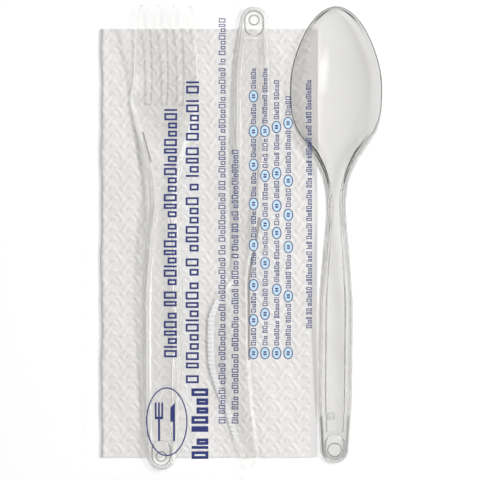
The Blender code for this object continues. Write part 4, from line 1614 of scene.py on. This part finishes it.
    def build(self, solid: bpy.types.Object,
              contents: Sequence[bpy.types.Object]) -> bpy.types.Object:
        """Draw the film over the contents and seal it.

        Args:
            solid: The film's CAD node.
            contents: The pieces inside.

        Returns:
            The film.
        """
        self.survey(solid, contents)
        steps = self.slope_steps
        beyond = [self.end_slope * i / steps for i in range(1, steps + 1)]
        count = round(self.end_seal / self.crimp_pitch * self.crimp_steps)
        beyond += [self.end_slope + self.end_seal * i / count for i in range(1, count + 1)]
        sections, rows = [], []
        for end, heights in ((-1, self.heights[0]), (1, self.heights[-1])):
            made = [self.section(heights, *self.pinch(place)) for place in beyond]
            spots = [end * (self.places[-1] + place) for place in beyond]
            sections.append(made[::end])
            rows.append(spots[::end])
        body = [self.section(heights, 1.0, 0.0) for heights in self.heights]
        shapes = sections[0] + body + sections[1]
        y = np.array(rows[0] + list(self.places) + rows[1])
        points = np.array([[(x, along, z) for x, z in shape] for along, shape in zip(y, shapes)])
        film = added("film_tube", grid_mesh("film_tube", points), self.finish)
        film.visible_shadow = film.visible_diffuse = False
        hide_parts("film_wrapper")
        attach(film, BODY)
        return film


class Mark(Enum):
    """The hollow marks of the print, each by its share of the full width and height."""

    WIDE = (1.0, 1.0)
    NARROW = (0.74, 1.0)
    SHORT = (0.84, 0.7)
    BAR = (0.22, 1.0)


@dataclass
class Print:
    """The print on the film: lines of plain marks, tinted ovals and an oval badge.

    A line runs up the film. It has its left and right, its start and stop, how many marks each
    of its groups has, and the weight of its strokes. The small print stands in columns: the last
    place in each is where its last line stops, and each other place has an oval and a line.
    """

    film: FilmWrapper
    ink: bpy.types.Material
    tint: bpy.types.Material
    clearance: float = 0.06
    thickness: float = 0.03
    scale: float = 0.99
    level_within: float = 0.02
    bar_step: float = 2.0
    lines: tuple = (
        (-29.4, -24.4, -46.0, 49.4, (6, 2, 8, 14), 0.74),
        (-21.0, -16.0, -56.0, 60.2, (1, 10, 2, 6, 1, 4, 5, 2), 0.74),
        (-8.4, -5.8, -71.7, 84.4, (2, 6, 5, 8, 4, 10, 2, 11, 2, 9, 8, 6, 2, 8), 0.36),
        (-3.4, -0.8, -71.7, 33.6, (3, 3, 9, 8, 6, 6, 1, 4, 2, 2, 13), 0.36),
        (25.2, 27.3, -34.8, 60.6, (4, 2, 6, 6, 3, 3, 5, 10, 3, 5, 6, 3, 4, 9), 0.34),
    )
    bold_line: tuple = (-18.9, -12.4, -85.5, -58.0, (3, 5), 1.15)
    mark_gap: float = 0.3
    group_space: float = 0.55
    columns: tuple = (
        (5.0, (-44.42, -31.73, -18.27, -2.88, 12.88, 27.88, 40.77, 54.42, 65.19)),
        (9.4, (-44.42, -29.27, -9.81, 4.96, 23.65, 40.96, 65.19)),
        (13.85, (-44.42, -20.0, 1.73, 12.11, 24.58, 42.5, 60.57)),
        (18.3, (-44.42, -22.5, -3.65, 8.65, 21.73, 44.04, 54.42)),
    )
    small_pitch: float = 1.35
    small_half: float = 0.95
    small_weight: float = 0.32
    longest_group: int = 7
    oval_half: Point2 = (1.85, 2.4)
    oval_line: float = 0.36
    oval_steps: int = 28
    oval_room: float = 3.0
    dash: float = 0.6
    dash_starts: Point2 = (-0.75, 0.15)
    dash_lift: float = 0.01
    badge_middle: Point2 = (-28.4, -71.0)
    badge_half: Point2 = (8.0, 13.4)
    badge_line: float = 0.5
    badge_steps: int = 72
    faces: dict[str, list] = field(default_factory=lambda: {"ink": [], "tint": []})

    def patch(self, kind: str, corners: Sequence[Point2], lift: float = 0.0) -> None:
        """Add one flat face of print, laid on the film.

        Args:
            kind: "ink" or "tint".
            corners: The face's corners.
            lift: How far it lies above the other print.
        """
        spots = [(x * self.scale, y * self.scale) for x, y in corners]
        levels = [self.film.height(x, y) for x, y in spots]
        if max(levels) - min(levels) < self.level_within:
            levels = [max(levels)] * len(levels)
        self.faces[kind].append([(x, y, level + self.clearance + lift)
                                 for (x, y), level in zip(spots, levels)])

    def bar(self, x0: float, x1: float, y0: float, y1: float) -> None:
        """Add a bar of ink, cut into pieces short enough to follow the film.

        Args:
            x0: Its left.
            x1: Its right.
            y0: Its foot.
            y1: Its top.
        """
        count = max(1, math.ceil((y1 - y0) / self.bar_step))
        for i in range(count):
            low, high = (y0 + (y1 - y0) * k / count for k in (i, i + 1))
            self.patch("ink", ((x0, low), (x1, low), (x1, high), (x0, high)))

    def mark(self, x0: float, x1: float, y0: float, y1: float, line: float) -> None:
        """Add one hollow mark.

        Args:
            x0: Its left.
            x1: Its right.
            y0: Its foot.
            y1: Its top.
            line: The thickness of its lines.
        """
        self.bar(x0, x0 + line, y0, y1)
        self.bar(x1 - line, x1, y0, y1)
        self.bar(x0 + line, x1 - line, y0, y0 + line)
        self.bar(x0 + line, x1 - line, y1 - line, y1)

    def line(self, left: float, right: float, start: float, stop: float, groups: Sequence[int],
             weight: float) -> None:
        """Set a line of marks that runs up the film.

        Args:
            left: The tops of the marks.
            right: The foot of the marks.
            start: Where the line begins.
            stop: Where it ends.
            groups: How many marks each group has.
            weight: The thickness of the marks' lines.
        """
        order = (Mark.WIDE, Mark.SHORT, Mark.NARROW, Mark.BAR, Mark.SHORT, Mark.WIDE, Mark.SHORT)
        marks: list[Mark | None] = []
        for k, group in enumerate(groups):
            marks += [order[(i * 3 + k * 2) % len(order)] for i in range(group)] + [None]
        marks.pop()
        advances = [mark.value[0] + self.mark_gap if mark else self.group_space for mark in marks]
        unit = (stop - start) / (sum(advances) - self.mark_gap)
        y = start
        for mark, advance in zip(marks, advances):
            if mark is Mark.BAR:
                self.bar(left, right, y, y + weight)
            elif mark:
                top = right - (right - left) * mark.value[1]
                self.mark(top, right, y, y + unit * mark.value[0], weight)
            y += unit * advance

    def rim(self, centre: Point2, half: Point2, inside: float, steps: int) -> list[Point2]:
        """Draw an oval.

        Args:
            centre: Its centre.
            half: Half its width and half its length.
            inside: How far inside that the oval lies.
            steps: How many corners it has.

        Returns:
            Its corners.
        """
        turns = [2 * math.pi * i / steps for i in range(steps)]
        return [(centre[0] + (half[0] - inside) * math.cos(a),
                 centre[1] + (half[1] - inside) * math.sin(a)) for a in turns]

    def ring(self, centre: Point2, half: Point2, line: float, steps: int) -> None:
        """Add an oval ring of ink.

        Args:
            centre: Its centre.
            half: Half its width and half its length.
            line: The thickness of the ring.
            steps: How many corners it has.
        """
        inner, outer = (self.rim(centre, half, inside, steps) for inside in (line, 0.0))
        for i in range(steps):
            j = (i + 1) % steps
            self.patch("ink", (inner[i], outer[i], outer[j], inner[j]))

    def oval(self, centre: Point2) -> None:
        """Add a tinted oval with an ink ring and two plain dashes in it.

        Args:
            centre: Its centre.
        """
        x, y = centre
        self.ring(centre, self.oval_half, self.oval_line, self.oval_steps)
        rim = self.rim(centre, self.oval_half, self.oval_line, self.oval_steps)
        for i, corner in enumerate(rim):
            self.patch("tint", (centre, corner, rim[(i + 1) % len(rim)]))
        for start in self.dash_starts:
            low, high = y + start, y + start + self.dash
            self.patch("ink", ((x - self.dash, low), (x + self.dash, low),
                               (x + self.dash, high), (x - self.dash, high)), self.dash_lift)

    def small_print(self, x: float, spots: Sequence[float]) -> None:
        """Set one column of small print.

        Args:
            x: The column's middle.
            spots: The ovals' places, and where the last line stops.
        """
        for here, after in zip(spots, spots[1:]):
            self.oval((x, here))
            start = here + self.oval_room
            stop = after if after == spots[-1] else after - self.oval_room
            count = max(2, round((stop - start) / self.small_pitch))
            half = count // 2
            groups = (count,) if count < self.longest_group else (half, count - half - 1)
            self.line(x - self.small_half, x + self.small_half, start, stop, groups,
                      self.small_weight)

    def build(self) -> list[bpy.types.Object]:
        """Print the whole film.

        Returns:
            The ink's and the tint's objects.
        """
        for line in self.lines:
            self.line(*line)
        for x, spots in self.columns:
            self.small_print(x, spots)
        self.badge(self.badge_middle)
        self.line(*self.bold_line)
        return [self.laid("film_print_" + kind, self.faces[kind], material)
                for kind, material in (("ink", self.ink), ("tint", self.tint))]

    def badge(self, centre: Point2) -> None:
        """Add a plain oval badge with a simple fork and knife, drawn as bars.

        Args:
            centre: The badge's centre.
        """
        self.ring(centre, self.badge_half, self.badge_line, self.badge_steps)
        x, y = centre
        prongs = [(shift, shift + 0.7, 2.0, 7.5) for shift in (-4.6, -3.35, -2.1)]
        fork = [(-3.4, -2.6, -7.5, 1.0), (-4.6, -1.4, 1.0, 2.0), *prongs]
        knife = [(2.4, 3.2, -7.5, 0.0), (1.4, 3.2, 0.0, 5.5)]
        for x0, x1, y0, y1 in fork + knife:
            self.bar(x + x0, x + x1, y + y0, y + y1)
        self.patch("ink", ((x + 1.4, y + 5.5), (x + 3.2, y + 5.5), (x + 3.2, y + 7.5)))

    def laid(self, name: str, faces: list, material: bpy.types.Material) -> bpy.types.Object:
        """Make one object of print from its faces, with the ink's own thickness.

        Args:
            name: The object's name.
            faces: The faces as lists of points.
            material: The ink.

        Returns:
            The object.
        """
        spots, rings = [], []
        for face in faces:
            rings.append(list(range(len(spots), len(spots) + len(face))))
            spots += [tuple(c * MM for c in point) for point in face]
        mesh = bpy.data.meshes.new(name)
        mesh.from_pydata(spots, [], rings)
        item = added(name, mesh, material)
        coat = item.modifiers.new("coat", "SOLIDIFY")
        coat.thickness = self.thickness * MM
        item.visible_shadow = item.visible_diffuse = False
        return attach(item, BODY)


@dataclass
class Studio:
    """The plain floor, the lamps, the surroundings and the camera.

    Lamps are placed and sized in metres, and have watts.
    """

    floor_colour: str = "F2F2F2"
    floor_glow: float = 0.165
    floor_half: float = 2500.0
    floor_level: float = -0.05
    key_place: Point3 = (0.3, 0.08, 0.95)
    key_size: float = 0.15
    key_power: float = 4.3
    rake_place: Point3 = (1.35, 0.45, 0.63)
    rake_size: float = 0.6
    rake_power: float = 17.2
    surround: float = 0.33
    sky: Stations = ((0.0, 1.0), (0.12, 0.6), (0.3, 0.25), (0.42, 1.1), (1.0, 1.0))
    softbox_towards: Point3 = (0.34, 0.0, 0.94)
    softbox_rim: Point2 = (0.06, 0.26)
    softbox_power: float = 2.2
    camera_height: float = 1029.6
    framed_level: float = 4.0
    frame_width: float = 184.6
    sensor: float = 36.0
    aim: Point2 = (-0.19, -0.96)

    def looked_along(self, tree: bpy.types.NodeTree, path: bpy.types.Node) -> bpy.types.NodeSocket:
        """Tell the rays that the camera looks along from those that light the object.

        Args:
            tree: The node tree.
            path: Its Light Path node.

        Returns:
            1 for a camera ray, also by gloss or through clear plastic, and otherwise 0.
        """
        looked = path.outputs["Is Camera Ray"]
        for ray in ("Is Glossy Ray", "Is Transmission Ray"):
            looked = add_node(tree, "ShaderNodeMath", {"operation": "MAXIMUM"},
                              {0: looked, 1: path.outputs[ray]}).outputs[0]
        return looked

    def floor(self) -> None:
        """Lay the floor, which looks white and still takes the shadow."""
        bm = bmesh.new()
        bmesh.ops.create_grid(bm, x_segments=1, y_segments=1, size=self.floor_half)
        bmesh.ops.translate(bm, vec=(0.0, 0.0, self.floor_level), verts=bm.verts[:])
        material, tree, shader = blank_material("studio_floor")
        looked = self.looked_along(tree, add_node(tree, "ShaderNodeLightPath"))
        glow = add_node(tree, "ShaderNodeMath", {"operation": "MULTIPLY"},
                        {0: looked, 1: self.floor_glow})
        set_sockets(tree, shader, {
            "Emission Strength": glow.outputs[0], "Emission Color": linear(WHITE),
            "Base Color": linear(self.floor_colour), "Roughness": 1.0, "Specular IOR Level": 0.0})
        added("studio_floor", finished_mesh("studio_floor", bm), material)

    def lamp(self, name: str, place: Point3, size: float, power: float) -> bpy.types.Light:
        """Hang a square lamp that points at the object.

        Args:
            name: The lamp's name.
            place: Where it hangs, in metres.
            size: Its side, in metres.
            power: Its power, in watts.

        Returns:
            The lamp's light.
        """
        light = bpy.data.lights.new(name, "AREA")
        light.shape, light.size, light.energy = "SQUARE", size, power
        lamp = bpy.data.objects.new(name, light)
        lamp.location = place
        lamp.rotation_euler = Vector(place).to_track_quat("Z", "Y").to_euler()
        lamp.visible_glossy = lamp.visible_transmission = False
        bpy.context.scene.collection.objects.link(lamp)
        return light

    def world(self) -> None:
        """Make the surroundings: even light for the object, and a sky that its gloss shows.

        The sky is white at the horizon, dark above it and bright overhead. Gloss also shows a
        softbox to the right of overhead.
        """
        world = bpy.data.worlds.new("studio")
        bpy.context.scene.world = world
        world.use_nodes = True
        tree = world.node_tree
        tree.nodes.clear()
        way = add_node(tree, "ShaderNodeTexCoord").outputs["Generated"]
        path = add_node(tree, "ShaderNodeLightPath")
        split = add_node(tree, "ShaderNodeSeparateXYZ", sockets={0: way})
        sky = add_node(tree, "ShaderNodeValToRGB", sockets={"Fac": split.outputs["Z"]})
        set_stops(sky, self.sky)
        aside = add_node(tree, "ShaderNodeVectorMath", {"operation": "DISTANCE"},
                         {0: way, 1: self.softbox_towards})
        softbox = add_node(tree, "ShaderNodeMapRange", {"interpolation_type": "SMOOTHSTEP"}, {
            "Value": aside.outputs["Value"], "From Min": self.softbox_rim[0],
            "From Max": self.softbox_rim[1], "To Min": self.softbox_power, "To Max": 0.0})
        glare = add_node(tree, "ShaderNodeMath", {"operation": "MULTIPLY_ADD"}, {
            0: softbox.outputs["Result"], 1: path.outputs["Is Glossy Ray"], 2: 1.0})
        shown = add_node(tree, "ShaderNodeBackground", sockets={
            "Color": sky.outputs["Color"], "Strength": glare.outputs[0]})
        lit = add_node(tree, "ShaderNodeBackground", sockets={
            "Color": linear(WHITE), "Strength": self.surround})
        mixed = add_node(tree, "ShaderNodeMixShader", sockets={
            0: self.looked_along(tree, path), 1: lit.outputs[0], 2: shown.outputs[0]})
        add_node(tree, "ShaderNodeOutputWorld", sockets={"Surface": mixed.outputs[0]})

    def camera(self) -> None:
        lens = bpy.data.cameras.new("camera")
        lens.sensor_width = self.sensor
        lens.lens = self.sensor * (self.camera_height - self.framed_level) / self.frame_width
        lens.clip_start, lens.clip_end = 0.01, 20.0
        camera = bpy.data.objects.new("camera", lens)
        camera.location = (self.aim[0] * MM, self.aim[1] * MM, self.camera_height * MM)
        bpy.context.scene.collection.objects.link(camera)
        bpy.context.scene.camera = camera

    def build(self) -> None:
        """Set up the whole studio."""
        self.floor()
        self.lamp("key_lamp", self.key_place, self.key_size, self.key_power)
        rake = self.lamp("rake_lamp", self.rake_place, self.rake_size, self.rake_power)
        rake.use_shadow = False
        self.world()
        self.camera()
        bpy.context.scene.view_settings.view_transform = "Standard"


def main() -> None:
    """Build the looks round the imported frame."""
    logging.basicConfig(level=logging.INFO, format="%(name)s: %(message)s")
    for item in list(bpy.data.objects):
        bpy.data.objects.remove(item)
    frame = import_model()
    Studio().build()
    # The clear finish paints shade on its walls and a glow on its bends; the grey and bent ones are
    # copies darkened as painted shade, for the spoon and for dark slopes; the ribbed one has a
    # painted glow.
    clear, grey, shade_for_bends, ribbed = (finish().material() for finish in (
        MouldedPolystyrene, SpoonShadePolystyrene, BendShadePolystyrene, RibbedPolystyrene))
    pieces = [Fork(clear, shade_for_bends).build(), Knife(clear, shade_for_bends, rib_finish=ribbed).build(),
              Spoon(grey, shade_for_bends).build(), Napkin(EmbossedTissue().material()).build()]
    wrapper = FilmWrapper(PolypropyleneFilm().material())
    pieces.append(wrapper.build(frame["nodes"]["film_wrapper"], pieces))
    navy = FlexoInk("navy_ink", "1E2A68", "273371").material()
    pale = FlexoInk("pale_ink", "BFDDF2", "CFE6F6").material()
    pieces += Print(wrapper, navy, pale).build()
    for piece in pieces:
        LOG.info("%s: %d faces", piece.name, len(piece.data.polygons))


if __name__ == "__main__":
    main()
